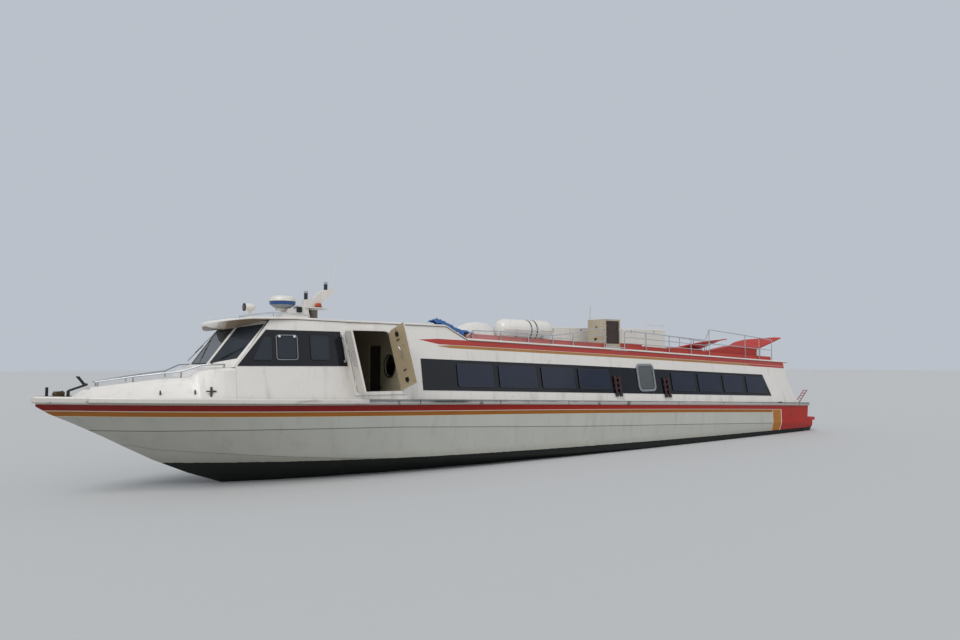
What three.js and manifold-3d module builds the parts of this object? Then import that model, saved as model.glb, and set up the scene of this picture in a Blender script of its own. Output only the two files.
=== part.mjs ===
// A fast inshore passenger ferry, 25 m long, in glass-reinforced plastic: a hard-chine planing hull with a sunken
// passenger cabin, a raised wheelhouse forward, double entrance doors, and deck gear on the cabin roof.
// Millimetres. X runs forward from a point just inside the transom, Y to port, Z up from the water she floats in.
import * as THREE from "three";
import { mergeVertices } from "three/addons/utils/BufferGeometryUtils.js";
import Module from "manifold-3d";

const wasm = await Module();
wasm.setup();

// Driving dimensions
const TRANSOM = -150;
const HULL_LENGTH = 24940; // to the stem head, without the bow moulding
const DECK_DROP = 30; // deck below the top of the gunwale moulding
const MOULDING_WIDTH = 60;
const MOULDING_HEIGHT = 120;
const SIDE_INSET = 70; // cabin side inboard of the hull skin: a very narrow side deck
const TUMBLE = Math.tan((10 * Math.PI) / 180); // the cabin sides lean in
const WALL = 60; // thickness of cabin walls
const ROOF = 60; // thickness of the roofs at their edge
const ROOF_RISE = 1530; // cabin roof edge above the gunwale
const CAMBER = 70; // rise of a roof at its middle
const GAP = 0.4; // clearance between pieces that touch
const GLASS = 8;
const ROOM = 2400; // more than the half breadth, for cutters that pass right through a side

// Lines that run the length of the boat
const sheer = (x) => 1120 + 0.0455 * x - 4.2e-7 * x * x; // top of the gunwale moulding
const deck = (x) => sheer(x) - DECK_DROP;
function skin(x) {
  // half breadth of the hull at the deck
  const t = Math.max(0, (x - 16500) / (HULL_LENGTH - 16500));
  return 1920 * (1 - Math.min(1, t) ** 2.4) ** 0.85;
}
const side = (x, z) => skin(x) - SIDE_INSET - TUMBLE * (z - sheer(x)); // outside of a cabin wall

// Small tools for shapes
const point = (x, y, z) => [x, y, z];
const mirrorY = ([x, y, z]) => [x, -y, z];

function solid(geometry) {
  const bare = geometry.clone();
  bare.deleteAttribute("normal");
  bare.deleteAttribute("uv");
  const merged = mergeVertices(bare, 1e-3);
  const vertProperties = new Float32Array(merged.attributes.position.array);
  const triVerts = new Uint32Array(merged.index.array);
  const made = new wasm.Manifold(new wasm.Mesh({ numProp: 3, vertProperties, triVerts }));
  if (made.volume() > 0) return made;
  for (let i = 0; i < triVerts.length; i += 3) {
    [triVerts[i + 1], triVerts[i + 2]] = [triVerts[i + 2], triVerts[i + 1]];
  }
  return new wasm.Manifold(new wasm.Mesh({ numProp: 3, vertProperties, triVerts }));
}

function geometryOf(made) {
  const mesh = made.getMesh();
  const geometry = new THREE.BufferGeometry();
  geometry.setAttribute("position", new THREE.BufferAttribute(new Float32Array(mesh.vertProperties), 3));
  geometry.setIndex(new THREE.BufferAttribute(new Uint32Array(mesh.triVerts), 1));
  const flat = geometry.toNonIndexed();
  flat.computeVertexNormals();
  return flat;
}

const join = (...parts) => parts.flat().reduce((a, b) => a.add(b));
const cut = (a, ...tools) => tools.flat().reduce((left, tool) => left.subtract(tool), a);

function placed(geometry, x, y, z, turnX = 0, turnY = 0, turnZ = 0) {
  const matrix = new THREE.Matrix4().makeRotationFromEuler(new THREE.Euler(turnX, turnY, turnZ));
  matrix.setPosition(x, y, z);
  return solid(geometry.clone().applyMatrix4(matrix));
}

// A block between two corners
function block(x0, x1, y0, y1, z0, z1) {
  const box = new THREE.BoxGeometry(x1 - x0, y1 - y0, z1 - z0);
  return placed(box, (x0 + x1) / 2, (y0 + y1) / 2, (z0 + z1) / 2);
}

// A straight round bar between two points
function bar(a, b, radius, sides = 8, start = 0) {
  const from = new THREE.Vector3(...a);
  const along = new THREE.Vector3(...b).sub(from);
  const turn = new THREE.Quaternion().setFromUnitVectors(
    new THREE.Vector3(0, 1, 0),
    along.clone().normalize(),
  );
  const geometry = new THREE.CylinderGeometry(radius, radius, along.length(), sides, 1, false, start);
  geometry.applyQuaternion(turn);
  const middle = from.addScaledVector(along, 0.5);
  return solid(geometry.translate(middle.x, middle.y, middle.z));
}

// A bent tube through points, mitred at its bends
function pipe(points, radius, sides = 8) {
  const at = points.map((p) => new THREE.Vector3(...p));
  const heading = at.slice(1).map((p, i) => p.clone().sub(at[i]).normalize());
  const across = new THREE.Vector3(0, 0, 1).cross(heading[0]);
  if (across.length() < 0.1) across.set(0, 1, 0).cross(heading[0]);
  across.normalize();
  const up = heading[0].clone().cross(across);
  let offsets = Array.from({ length: sides }, (_, i) => {
    const angle = (2 * Math.PI * i) / sides;
    return across.clone().multiplyScalar(radius * Math.cos(angle)).addScaledVector(up, radius * Math.sin(angle));
  });
  const rings = at.map((p, i) => {
    const before = heading[Math.max(0, i - 1)];
    const after = heading[Math.min(heading.length - 1, i)];
    const plane = before.clone().add(after).normalize();
    const corners = offsets.map((o) => o.clone().addScaledVector(before, -o.dot(plane) / before.dot(plane)));
    offsets = corners.map((v) => v.clone().addScaledVector(after, -v.dot(after)));
    return corners.map((v) => v.add(p).toArray());
  });
  return loft(rings);
}

// A skin through closed sections of equal point counts, with flat ends
function loft(sections) {
  const count = sections[0].length;
  const positions = sections.flat(2);
  const index = [];
  for (let s = 0; s + 1 < sections.length; s++) {
    for (let i = 0; i < count; i++) {
      const j = (i + 1) % count;
      const a = s * count + i;
      const b = s * count + j;
      index.push(a, b, b + count, a, b + count, a + count);
    }
  }
  const cap = (start, ring, flip) => {
    const normal = new THREE.Vector3();
    ring.forEach((p, i) => {
      const q = ring[(i + 1) % count];
      normal.x += (p[1] - q[1]) * (p[2] + q[2]);
      normal.y += (p[2] - q[2]) * (p[0] + q[0]);
      normal.z += (p[0] - q[0]) * (p[1] + q[1]);
    });
    const turn = new THREE.Quaternion().setFromUnitVectors(normal.normalize(), new THREE.Vector3(0, 0, 1));
    const flat = ring.map((p) => {
      const v = new THREE.Vector3(...p).applyQuaternion(turn);
      return new THREE.Vector2(v.x, v.y);
    });
    for (const [a, b, c] of THREE.ShapeUtils.triangulateShape(flat, [])) {
      if (flip) index.push(start + a, start + c, start + b);
      else index.push(start + a, start + b, start + c);
    }
  };
  cap(0, sections[0], true);
  cap((sections.length - 1) * count, sections[sections.length - 1], false);
  const geometry = new THREE.BufferGeometry();
  geometry.setAttribute("position", new THREE.Float32BufferAttribute(positions, 3));
  geometry.setIndex(index);
  return solid(geometry);
}

// An outline in the X-Z plane, extruded across the boat
function prismXZ(outline, y0, y1) {
  const shape = new THREE.Shape(outline.map(([x, z]) => new THREE.Vector2(x, z)));
  const geometry = new THREE.ExtrudeGeometry(shape, { depth: y1 - y0, bevelEnabled: false });
  geometry.rotateX(Math.PI / 2).translate(0, y1, 0);
  return solid(geometry);
}

// An outline in the Y-Z plane, extruded fore and aft
function prismYZ(outline, x0, x1) {
  const shape = new THREE.Shape(outline.map(([y, z]) => new THREE.Vector2(y, z)));
  const geometry = new THREE.ExtrudeGeometry(shape, { depth: x1 - x0, bevelEnabled: false });
  geometry.rotateX(Math.PI / 2).rotateZ(Math.PI / 2).translate(x0, 0, 0);
  return solid(geometry);
}

// An outline in plan, extruded upwards
function prismXY(outline, z0, z1) {
  const shape = new THREE.Shape(outline.map(([x, y]) => new THREE.Vector2(x, y)));
  const geometry = new THREE.ExtrudeGeometry(shape, { depth: z1 - z0, bevelEnabled: false });
  return solid(geometry.translate(0, 0, z0));
}

// A rectangle with round corners, as [a, b] pairs
function roundedRectangle(a0, a1, b0, b1, radius, steps = 4) {
  const corners = [
    [a1 - radius, b0 + radius, -90],
    [a1 - radius, b1 - radius, 0],
    [a0 + radius, b1 - radius, 90],
    [a0 + radius, b0 + radius, 180],
  ];
  const outline = [];
  for (const [a, b, start] of corners) {
    for (let i = 0; i <= steps; i++) {
      const angle = ((start + (90 * i) / steps) * Math.PI) / 180;
      outline.push([a + radius * Math.cos(angle), b + radius * Math.sin(angle)]);
    }
  }
  return outline;
}

// Turned shape about a vertical axis, from [radius, height] pairs that start and end on the axis
function turned(profile, x, y, z, segments = 20) {
  const points = profile.map(([r, h]) => new THREE.Vector2(r, h));
  return placed(new THREE.LatheGeometry(points, segments), x, y, z, Math.PI / 2);
}

// Hull: each station is one section, from the keel out to the chine, the upper knuckle and the deck edge
const stations = [
  // x, keel z, chine y, chine z, knuckle y, knuckle z
  [TRANSOM, -450, 1690, -20, 1860, 345],
  [3000, -530, 1715, -20, 1865, 480],
  [6000, -600, 1735, 0, 1865, 610],
  [9000, -660, 1740, 40, 1865, 735],
  [12000, -705, 1725, 110, 1860, 860],
  [15000, -730, 1660, 220, 1835, 1010],
  [16500, -730, 1590, 305, 1810, 1085],
  [17800, -700, 1490, 395, 1750, 1150],
  [19200, -560, 1310, 495, 1640, 1190],
  [20300, -340, 1100, 590, 1460, 1215],
  [21300, -30, 840, 690, 1220, 1235],
  [22100, 270, 560, 775, 960, 1250],
  [22800, 600, 270, 840, 690, 1260],
  [23300, 880, 60, 960, 470, 1268],
  [23800, 1170, 25, 1200, 190, 1290],
  [24300, 1440, 25, 1480, 120, 1580],
  [24700, 1640, 30, 1680, 110, 1790],
  [HULL_LENGTH, 1800, 30, 1830, 55, 1890],
];
const DECK_TIP = 90; // half breadth of the blunt stem head
const deckHalf = (x) => Math.max(DECK_TIP, skin(x));

// The cabin is sunk in a well, with raised soles under the forward cabin and the wheelhouse
const WELL_FLOOR = 700;
const FORWARD_SOLE = 880;
const LOBBY_SOLE = 1080;
const wellPlan = (inset) => {
  const port = [
    [20600 - inset, 900 - inset],
    [17500, 1560 - inset],
    [1150 + inset, 1600 - inset],
  ];
  return [...port, ...port.map(([x, y]) => [x, -y]).reverse()];
};

function forwardSole() {
  const plan = wellPlan(2);
  const low = prismXY(plan, WELL_FLOOR + GAP, FORWARD_SOLE);
  const high = prismXY(plan, WELL_FLOOR + GAP, LOBBY_SOLE);
  return join(
    low.intersect(block(13000, 17500, -ROOM, ROOM, 0, 3000)),
    high.intersect(block(17490, 21000, -ROOM, ROOM, 0, 3000)),
  );
}

function hull() {
  const sections = stations.map(([x, keelZ, chineY, chineZ, knuckleY, knuckleZ]) => {
    const port = [
      point(x, chineY, chineZ),
      point(x, knuckleY, knuckleZ),
      point(x, deckHalf(x), deck(x)),
    ];
    const starboard = port.map(mirrorY).reverse();
    return [point(x, 0, keelZ), ...port, ...starboard];
  });
  const well = prismXY(wellPlan(0), WELL_FLOOR, 2500);
  const engineRoom = block(1300, 5000, -1250, 1250, -40, 1500);
  const rudderBosses = [1, -1].map((sign) => {
    const y = sign * RUDDER.y;
    return bar([RUDDER.x, y, RUDDER.bearing], [RUDDER.x, y, RUDDER.bearing + 80], 55, 16);
  });
  return join(cut(loft(sections), well, engineRoom), rudderBosses);
}

// Gunwale moulding: one section swept round the deck edge, [out from the hull, below the sheer]
const mouldingSection = [
  [GAP, 0],
  [MOULDING_WIDTH * 0.7, 0],
  [MOULDING_WIDTH, -25],
  [MOULDING_WIDTH, -95],
  [MOULDING_WIDTH * 0.6, -MOULDING_HEIGHT],
  [GAP, -MOULDING_HEIGHT],
];

function moulding(edge) {
  const sections = edge.map(([x, y], i) => {
    const [x0, y0] = edge[Math.max(0, i - 1)];
    const [x1, y1] = edge[Math.min(edge.length - 1, i + 1)];
    const length = Math.hypot(x1 - x0, y1 - y0);
    const out = [-(y1 - y0) / length, (x1 - x0) / length];
    return mouldingSection.map(([n, drop]) => point(x + out[0] * n, y + out[1] * n, sheer(x) + drop));
  });
  return loft(sections);
}
const MOULDING_JOINT = 18700; // white moulding forward of here, grey fender aft
const bowEdgeStations = [MOULDING_JOINT, ...stations.map(([x]) => x).filter((x) => x > MOULDING_JOINT)];

function deckEdge(x) {
  // on the straight line between the hull's stations, so that the moulding lies along the hull
  const i = Math.max(1, stations.findIndex(([at]) => at >= x));
  const [x0, x1] = [stations[i - 1][0], stations[i][0]];
  return deckHalf(x0) + ((deckHalf(x1) - deckHalf(x0)) * (x - x0)) / (x1 - x0);
}

function bowMoulding() {
  const port = bowEdgeStations.map((x) => [x, deckEdge(x)]);
  const last = port.pop();
  const tip = [
    [HULL_LENGTH - 20, last[1] + 1],
    [HULL_LENGTH + 10, 30],
    [HULL_LENGTH + 10, -30],
    [HULL_LENGTH - 20, -last[1] - 1],
  ];
  const starboard = port.map(([x, y]) => [x, -y]).reverse();
  const made = moulding([...port, ...tip, ...starboard]);
  return cut(made, hullSpace());
}

function sideFender(sign) {
  const xs = [...stations.map(([x]) => x).filter((x) => x < MOULDING_JOINT), MOULDING_JOINT - 2];
  const edge = xs.map((x) => [x, deckEdge(x)]);
  const made = moulding(edge);
  return sign > 0 ? made : made.mirror([0, 1, 0]);
}

// The hull's outline above the chine, a hair larger, to clear the moulding off it
function hullSpace() {
  const sections = stations
    .filter(([x]) => x > 17000)
    .map(([x, , , , knuckleY, knuckleZ]) => {
      const grow = GAP;
      const top = deck(x) + grow;
      const tip = x === HULL_LENGTH ? x + grow : x;
      return [
        point(tip, knuckleY + grow, knuckleZ - 60),
        point(tip, deckHalf(x) + grow, top),
        point(tip, -deckHalf(x) - grow, top),
        point(tip, -knuckleY - grow, knuckleZ - 60),
      ];
    });
  return loft(sections);
}

// Roof lines: the underside of the roofs, which the walls stand up to
const STEP_AFT = 15790; // the cabin roof ends and the wheelhouse roof begins
const wheelhouseRoofTop = [
  // x, edge z
  [STEP_AFT, 3272],
  [16400, 3595],
  [17400, 3605],
  [19000, 3620],
  [20300, 3650],
  [20900, 3635],
];
const CABIN_ROOF_AFT = 720;
const cabinRoofStations = [CABIN_ROOF_AFT, 3000, 6000, 9000, 12000, 15000, STEP_AFT - 20];

function roofUnder(x) {
  if (x < STEP_AFT - 10) return sheer(x) + ROOF_RISE - ROOF;
  for (let i = 1; i < wheelhouseRoofTop.length; i++) {
    const [x0, z0] = wheelhouseRoofTop[i - 1];
    const [x1, z1] = wheelhouseRoofTop[i];
    if (x <= x1) return z0 + ((z1 - z0) * (x - x0)) / (x1 - x0) - ROOF;
  }
  return wheelhouseRoofTop.at(-1)[1] - ROOF;
}

// One roof section: flat below, cambered above, with a rounded lip. The rim may be thinner than the middle.
function roofSection(x, half, edgeTop, under, camber, rim = edgeTop - under) {
  const lip = Math.min(18, rim * 0.3);
  const inboard = rim < edgeTop - under ? half * 0.25 : lip;
  const top = [0.92, 0.6, 0.25].map((share) =>
    point(x, half * share, edgeTop + camber * (1 - share * share)),
  );
  const foot = [point(x, half - inboard, under), point(x, half, edgeTop - rim + lip)];
  const port = [...foot, point(x, half, edgeTop - lip)];
  const upper = [...port, ...top];
  return [...upper, ...upper.map(mirrorY).reverse()];
}

const cabinRoofSections = () =>
  cabinRoofStations.map((x) => {
    const top = sheer(x) + ROOF_RISE;
    return roofSection(x, side(x, top - ROOF) + 25, top, top - ROOF, CAMBER);
  });

// The cabin roof is moulded in three lengths, and the short one between the others carries the hatch house
function cabinRoof() {
  const whole = loft(cabinRoofSections());
  const length = (from, to) => whole.intersect(block(from, to, -ROOM, ROOM, 1000, 5000));
  return {
    forward: join(length(HATCH_BAY.x1 + GAP, STEP_AFT), airUnit()),
    bay: length(HATCH_BAY.x0, HATCH_BAY.x1),
    aft: length(0, HATCH_BAY.x0 - GAP),
  };
}

// What stands on a roof is cut off just above it by the first body, what carries one just under it by the second
const below = (roofSections) =>
  loft(roofSections.map((ring) => ring.map(([x, y, z], i) => point(x, y, i < 2 || i > 9 ? z - 600 : z + GAP))));
const above = (roofSections) =>
  loft(roofSections.map((ring) => ring.map(([x, y, z], i) => point(x, y, i < 2 || i > 9 ? z - GAP : z + 600))));

const VISOR = [
  // x, half width, rim top, underside in the middle, camber
  [21150, 1270, 3618, 3480, 45],
  [21400, 1130, 3595, 3412, 40],
  [21580, 930, 3572, 3374, 34],
  [21710, 680, 3550, 3385, 26],
  [21790, 380, 3528, 3420, 16],
  [21825, 150, 3508, 3455, 8],
];

const wheelhouseRoofSections = () => {
  const aft = wheelhouseRoofTop.map(([x, top]) => {
    const over = x > 20500 ? 85 : 25;
    return roofSection(x, side(x, top - ROOF) + over, top, top - ROOF, x < 16000 ? CAMBER : 55);
  });
  const visor = VISOR.map(([x, half, top, under, camber]) => roofSection(x, half, top, under, camber, 42));
  return [...aft, ...visor];
};

function wheelhouseRoof() {
  const boss = bar([LAMP.x, LAMP.y, lampSeat() - 60], [LAMP.x, LAMP.y, lampSeat()], 62, 16);
  return join(loft(wheelhouseRoofSections()), boss);
}

// Cabin walls: one curved sheet along each side, trimmed to the wall's outline, then cut for doors and windows
const wallStations = [0, 3000, 6000, 9000, 12000, 15000, 16500, 17400, 18400, 19200, 20000, 20600, 21200, 21900];

function sideSheet(inner, outer) {
  const sections = wallStations.map((x) => {
    const low = deck(x) - 200;
    const high = sheer(x) + 2000;
    return [
      point(x, side(x, low) + outer, low),
      point(x, side(x, high) + outer, high),
      point(x, side(x, high) + inner, high),
      point(x, side(x, low) + inner, low),
    ];
  });
  return loft(sections);
}

const portPrism = (outline) => prismXZ(outline, 300, ROOM);

// The cabin's after edge is a hollow curve that comes aft again under the roof
const AFTER_EDGE = [
  // x, z, from the side deck up
  [440, 1110],
  [670, 1420],
  [830, 1720],
  [935, 1980],
  [960, 2130],
  [930, 2280],
  [890, 2480],
  [880, 2700],
];

function afterEdgeAt(z) {
  const i = Math.max(1, AFTER_EDGE.findIndex(([, at]) => at >= z));
  const [[x0, z0], [x1, z1]] = [AFTER_EDGE[i - 1], AFTER_EDGE[i]];
  return x0 + ((x1 - x0) * (z - z0)) / (z1 - z0);
}

function wallOutline() {
  const foot = AFTER_EDGE[0][0];
  const head = AFTER_EDGE.at(-1)[0];
  const bottom = stations
    .map(([x]) => x)
    .filter((x) => x > foot && x < WHEELHOUSE_FRONT)
    .map((x) => [x, deckLine(x) + GAP]);
  const topXs = [...cabinRoofStations.filter((x) => x > 1000), ...wheelhouseRoofTop.map(([x]) => x)];
  const top = topXs
    .filter((x) => x < 20780)
    .map((x) => [x, roofUnder(x) - GAP])
    .reverse();
  return [
    [foot, deckLine(foot) + GAP],
    ...bottom,
    [WHEELHOUSE_FRONT, deckLine(WHEELHOUSE_FRONT) + GAP],
    [WHEELHOUSE_FRONT, SILL_Z],
    [20780, roofUnder(20780) - GAP],
    ...top,
    [head, roofUnder(head) - GAP],
    ...AFTER_EDGE.slice(1, -1).reverse(),
  ];
}

function deckLine(x) {
  // the deck between two hull stations is straight
  const i = Math.max(1, stations.findIndex(([at]) => at >= x));
  const [x0, x1] = [stations[i - 1][0], stations[i][0]];
  return deck(x0) + ((deck(x1) - deck(x0)) * (x - x0)) / (x1 - x0);
}

const WHEELHOUSE_FRONT = 21500;
const SILL_Z = 2570; // foot of the windscreen and of the wheelhouse windows
const BAND_LOW = 210; // passenger window band above the sheer
const BAND_HIGH = 970;
const bandXs = [3000, 6000, 9000, 12000, 15000];

function cabinBandOutline() {
  const low = bandXs.map((x) => [x, sheer(x) + BAND_LOW]);
  const high = bandXs.map((x) => [x, sheer(x) + BAND_HIGH]).reverse();
  return [
    [2210, sheer(2210) + BAND_LOW],
    ...low,
    [17230, sheer(17230) + BAND_LOW],
    [17230, sheer(17230) + BAND_HIGH],
    ...high,
    [2580, sheer(2580) + BAND_HIGH],
  ];
}
const wheelhouseBandOutline = [
  [19120, SILL_Z],
  [WHEELHOUSE_FRONT - 20, SILL_Z + 10],
  [20880, 3360],
  [19250, 3350],
];

// Window openings behind the tinted bands: aft edge x and width
const passengerWindows = [
  [15080, 1200],
  [13650, 1200],
  [12220, 1200],
  [10790, 1200],
  [6680, 1150],
  [5340, 1150],
  [4000, 1150],
  [2760, 1050],
];

function passengerWindow([x, width]) {
  const low = sheer(x) + BAND_LOW + 80;
  const high = sheer(x) + BAND_HIGH - 90;
  return portPrism(roundedRectangle(x, x + width, low, high, 60, 2));
}
const emergencyWindow = { x0: 8670, x1: 9480, z0: 1760, z1: 2610 };

const wheelhouseWindows = [
  [
    [20760, 2680],
    [21190, 2680],
    [20850, 3220],
    [20760, 3220],
  ],
  roundedRectangle(20220, 20680, 2660, 3230, 50, 2),
  roundedRectangle(19400, 20020, 2670, 3240, 60, 2),
];

// Entrance: a pair of leaves on each side, in a doorway whose jambs slope forward
const DOOR = {
  sill: 1990,
  head: 3385,
  forward: 18940, // x of the forward jamb, of the split between the leaves and of the aft jamb, at the sill
  split: 18365,
  aft: 17790,
  lean: 0.166,
  thick: 45,
  clearance: 6,
  headroom: 18, // a leaf rises as it swings out on its sloping hinge line
  frame: 75,
  proud: 25, // the frame and the shut leaves stand out from the wall
  corner: 110,
};
const jamb = (x, z) => x + DOOR.lean * (z - DOOR.sill);

// the doorway's outline, grown outwards, with its upper corners cut
function doorOutline(grow) {
  const corner = DOOR.corner + grow;
  const nip = corner * 0.3;
  const z0 = DOOR.sill - grow;
  const z1 = DOOR.head + grow;
  const aft = (z) => jamb(DOOR.aft, z) - grow;
  const forward = (z) => jamb(DOOR.forward, z) + grow;
  return [
    [aft(z0), z0],
    [forward(z0), z0],
    [forward(z1 - corner), z1 - corner],
    [forward(z1 - nip) - nip, z1 - nip],
    [forward(z1) - corner, z1],
    [aft(z1) + corner, z1],
    [aft(z1 - nip) + nip, z1 - nip],
    [aft(z1 - corner), z1 - corner],
  ];
}

function doorFrame() {
  const frame = sideSheet(-WALL / 2, DOOR.proud).intersect(portPrism(doorOutline(DOOR.frame)));
  return cut(frame, portPrism(doorOutline(0)));
}

function sideWall(sign) {
  const sheet = join(sideSheet(-WALL, 0).intersect(portPrism(wallOutline())), doorFrame());
  const openings = [
    portPrism(doorOutline(0)),
    ...passengerWindows.map(passengerWindow),
    ...wheelhouseWindows.map(portPrism),
    portPrism(
      roundedRectangle(
        emergencyWindow.x0 + 70,
        emergencyWindow.x1 - 70,
        emergencyWindow.z0 + 70,
        emergencyWindow.z1 - 90,
        110,
        3,
      ),
    ),
  ];
  const reliefs = doorHinges.map(([leaf, share]) => knuckle(leaf, share, KNUCKLE.radius + 6, -6, KNUCKLE.length + 6));
  const knuckles = doorHinges.map(([leaf, share]) =>
    knuckle(leaf, share, KNUCKLE.radius, -KNUCKLE.length, -GAP / 2),
  );
  const wall = join(cut(sheet, openings, reliefs), knuckles);
  return sign > 0 ? wall : wall.mirror([0, 1, 0]);
}

function glassBand(outline, sign) {
  const pane = sideSheet(GAP, GAP + GLASS).intersect(portPrism(outline));
  return sign > 0 ? pane : pane.mirror([0, 1, 0]);
}

function emergencyFrame(sign) {
  const { x0, x1, z0, z1 } = emergencyWindow;
  const outer = portPrism(roundedRectangle(x0, x1, z0, z1, 150, 4));
  const inner = portPrism(roundedRectangle(x0 + 65, x1 - 65, z0 + 65, z1 - 65, 100, 4));
  const base = 2 * GAP + GLASS;
  const ring = cut(sideSheet(base, base + 25).intersect(outer), inner);
  return sign > 0 ? ring : ring.mirror([0, 1, 0]);
}

// A flat plane through the doorway's corners, so that a leaf is a flat slab
const doorPlane = (x, z) => {
  const { aft, forward, sill, proud } = DOOR;
  const t = (x - aft) / (forward - aft);
  const foot = side(aft, sill) + (side(forward, sill) - side(aft, sill)) * t;
  return foot - TUMBLE * (z - sill) + proud;
};

// A leaf's outline in the doorway, from the foot of its hinge line, with the corner at its hinge cut
function leafOutline(which) {
  const { clearance, headroom, sill, head, split } = DOOR;
  const towards = Math.sign(split - DOOR[which]);
  const corner = DOOR.corner - clearance;
  const nip = corner * 0.3;
  const z0 = sill + clearance;
  const z1 = head - headroom;
  const hinge = (z) => jamb(DOOR[which], z) + towards * clearance;
  const free = (z) => jamb(split, z) - towards * clearance;
  return [
    [hinge(z0), z0],
    [free(z0), z0],
    [free(z1), z1],
    [hinge(z1) + towards * corner, z1],
    [hinge(z1 - nip) + towards * nip, z1 - nip],
    [hinge(z1 - corner), z1 - corner],
  ];
}

// Hinge knuckles on the line that a leaf turns about: the upper half is the leaf's, the lower the wall's
const KNUCKLE = { radius: 15, length: 70 };
const onDoor = ([x, z]) => new THREE.Vector3(x, doorPlane(x, z), z);
const hingeLine = (which) => {
  const outline = leafOutline(which);
  return [onDoor(outline[0]), onDoor(outline[5])];
};
const doorHinges = [
  ["forward", 0.16],
  ["forward", 0.8],
  ["aft", 0.16],
  ["aft", 0.8],
];

function knuckle(leaf, share, radius, from, to) {
  const [foot, head] = hingeLine(leaf);
  const along = new THREE.Vector3().subVectors(head, foot);
  const middle = foot.clone().addScaledVector(along, share);
  along.normalize();
  const a = middle.clone().addScaledVector(along, from);
  const b = middle.clone().addScaledVector(along, to);
  return bar(a.toArray(), b.toArray(), radius, 10, 0.2);
}

function doorLeaf(which, degrees, sign) {
  const outline = leafOutline(which);
  const outside = outline.map((at) => onDoor(at).toArray());
  const inside = outside.map(([x, y, z]) => point(x, y - DOOR.thick, z));
  const own = doorHinges.filter(([leaf]) => leaf === which);
  const reliefs = own.map(([leaf, share]) => knuckle(leaf, share, KNUCKLE.radius + 6, -KNUCKLE.length - 6, 6));
  const knuckles = own.map(([leaf, share]) => knuckle(leaf, share, KNUCKLE.radius, GAP / 2, KNUCKLE.length));
  const shut = join(cut(loft([inside, outside]), reliefs), knuckles);
  // turn the leaf about its hinge line
  const [foot, head] = hingeLine(which);
  const axis = new THREE.Vector3().subVectors(head, foot).normalize();
  const about = new THREE.Matrix4()
    .makeTranslation(...foot.toArray())
    .multiply(new THREE.Matrix4().makeRotationAxis(axis, (degrees * Math.PI) / 180))
    .multiply(new THREE.Matrix4().makeTranslation(...foot.clone().negate().toArray()));
  const leaf = solid(geometryOf(shut).applyMatrix4(about));
  return sign > 0 ? leaf : leaf.mirror([0, 1, 0]);
}
const FORWARD_LEAF_OPEN = 100; // degrees, as she lies with her port doors open
const AFT_LEAF_OPEN = 105;

// Foredeck: a raised trunk that runs from the stem head to the windscreen
const trunkStations = [
  // x, top half width, top z
  [WHEELHOUSE_FRONT + 2, 1235, 2550],
  [21720, 1130, 2552],
  [21990, 960, 2552],
  [22170, 880, 2490],
  [22300, 850, 2345],
  [22900, 620, 2310],
  [23500, 400, 2225],
  [24000, 190, 2160],
  [24120, 140, 2130],
  [24330, 90, 1985],
];

function foredeck() {
  const sections = trunkStations.map(([x, half, top]) => {
    const foot = Math.max(half + 20, deckEdge(x) - SIDE_INSET);
    const floor = deckLine(x) + GAP;
    const shoulder = Math.min(60, (top - floor) * 0.3);
    return [
      point(x, foot, floor),
      point(x, half + 30, top - shoulder),
      point(x, half - 40, top),
      point(x, -half + 40, top),
      point(x, -half - 30, top - shoulder),
      point(x, -foot, floor),
    ];
  });
  return loft(sections);
}

// Windscreen frame: a middle pane and two corner panes, sloping back
const screenFoot = [
  [WHEELHOUSE_FRONT + 45, 1215],
  [21980, 650],
  [21980, -650],
  [WHEELHOUSE_FRONT + 45, -1215],
];
const screenHead = [
  [20830, 1185],
  [21310, 650],
  [21310, -650],
  [20830, -1185],
];
const SCREEN_FOOT_Z = 2553;
const SCREEN_HEAD_Z = 3470;
const SCREEN_THICK = 55;

function screenPoint(edge, u, v, depth) {
  // u across one pane from port, v up it, depth aft of its face
  const foot = screenFoot[edge].map((a, i) => a + (screenFoot[edge + 1][i] - a) * u);
  const head = screenHead[edge].map((a, i) => a + (screenHead[edge + 1][i] - a) * u);
  const [x, y] = foot.map((a, i) => a + (head[i] - a) * v);
  return point(x - depth, y, SCREEN_FOOT_Z + (SCREEN_HEAD_Z - SCREEN_FOOT_Z) * v);
}

function paneBlock(edge, [u0, u1], low, high, front, back) {
  const ring = (depth) => [
    screenPoint(edge, u0, low[0], depth),
    screenPoint(edge, u1, low[1], depth),
    screenPoint(edge, u1, high[1], depth),
    screenPoint(edge, u0, high[0], depth),
  ];
  return loft([ring(back), ring(front)]);
}
const panes = [
  // edge, u from port, v of the pane's foot and of its head at those two sides
  [0, [0.1, 0.95], [0.2, 0.085], [1.03, 0.94]],
  [1, [0.03, 0.97], [0.06, 0.06], [0.925, 0.925]],
  [2, [0.05, 0.9], [0.085, 0.2], [0.94, 1.03]],
];

function windscreenFrame() {
  const topV = 1.1;
  const skins = [0, 1, 2].map((edge) => paneBlock(edge, [0, 1], [0, 0], [topV, topV], 0, SCREEN_THICK));
  const openings = panes.map(([edge, across, low, high]) => paneBlock(edge, across, low, high, -80, 160));
  const space = prismXZ(
    [
      [20000, 2500],
      [22500, 2500],
      [22500, 3300],
      [21900, 3600],
      [20000, 3570],
    ],
    -ROOM,
    ROOM,
  );
  const walls = [1, -1].map((sign) => {
    const room = sideSheet(-WALL - 400, 60).intersect(portPrism(wallOutlineGrown()));
    return sign > 0 ? room : room.mirror([0, 1, 0]);
  });
  return cut(join(skins).intersect(space), openings, walls, above(wheelhouseRoofSections()));
}

function wallOutlineGrown() {
  return [
    [20000, 2000],
    [WHEELHOUSE_FRONT + GAP, 2000],
    [WHEELHOUSE_FRONT + GAP, SILL_Z],
    [20780 + GAP, 3600],
    [20000, 3600],
  ];
}

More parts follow.
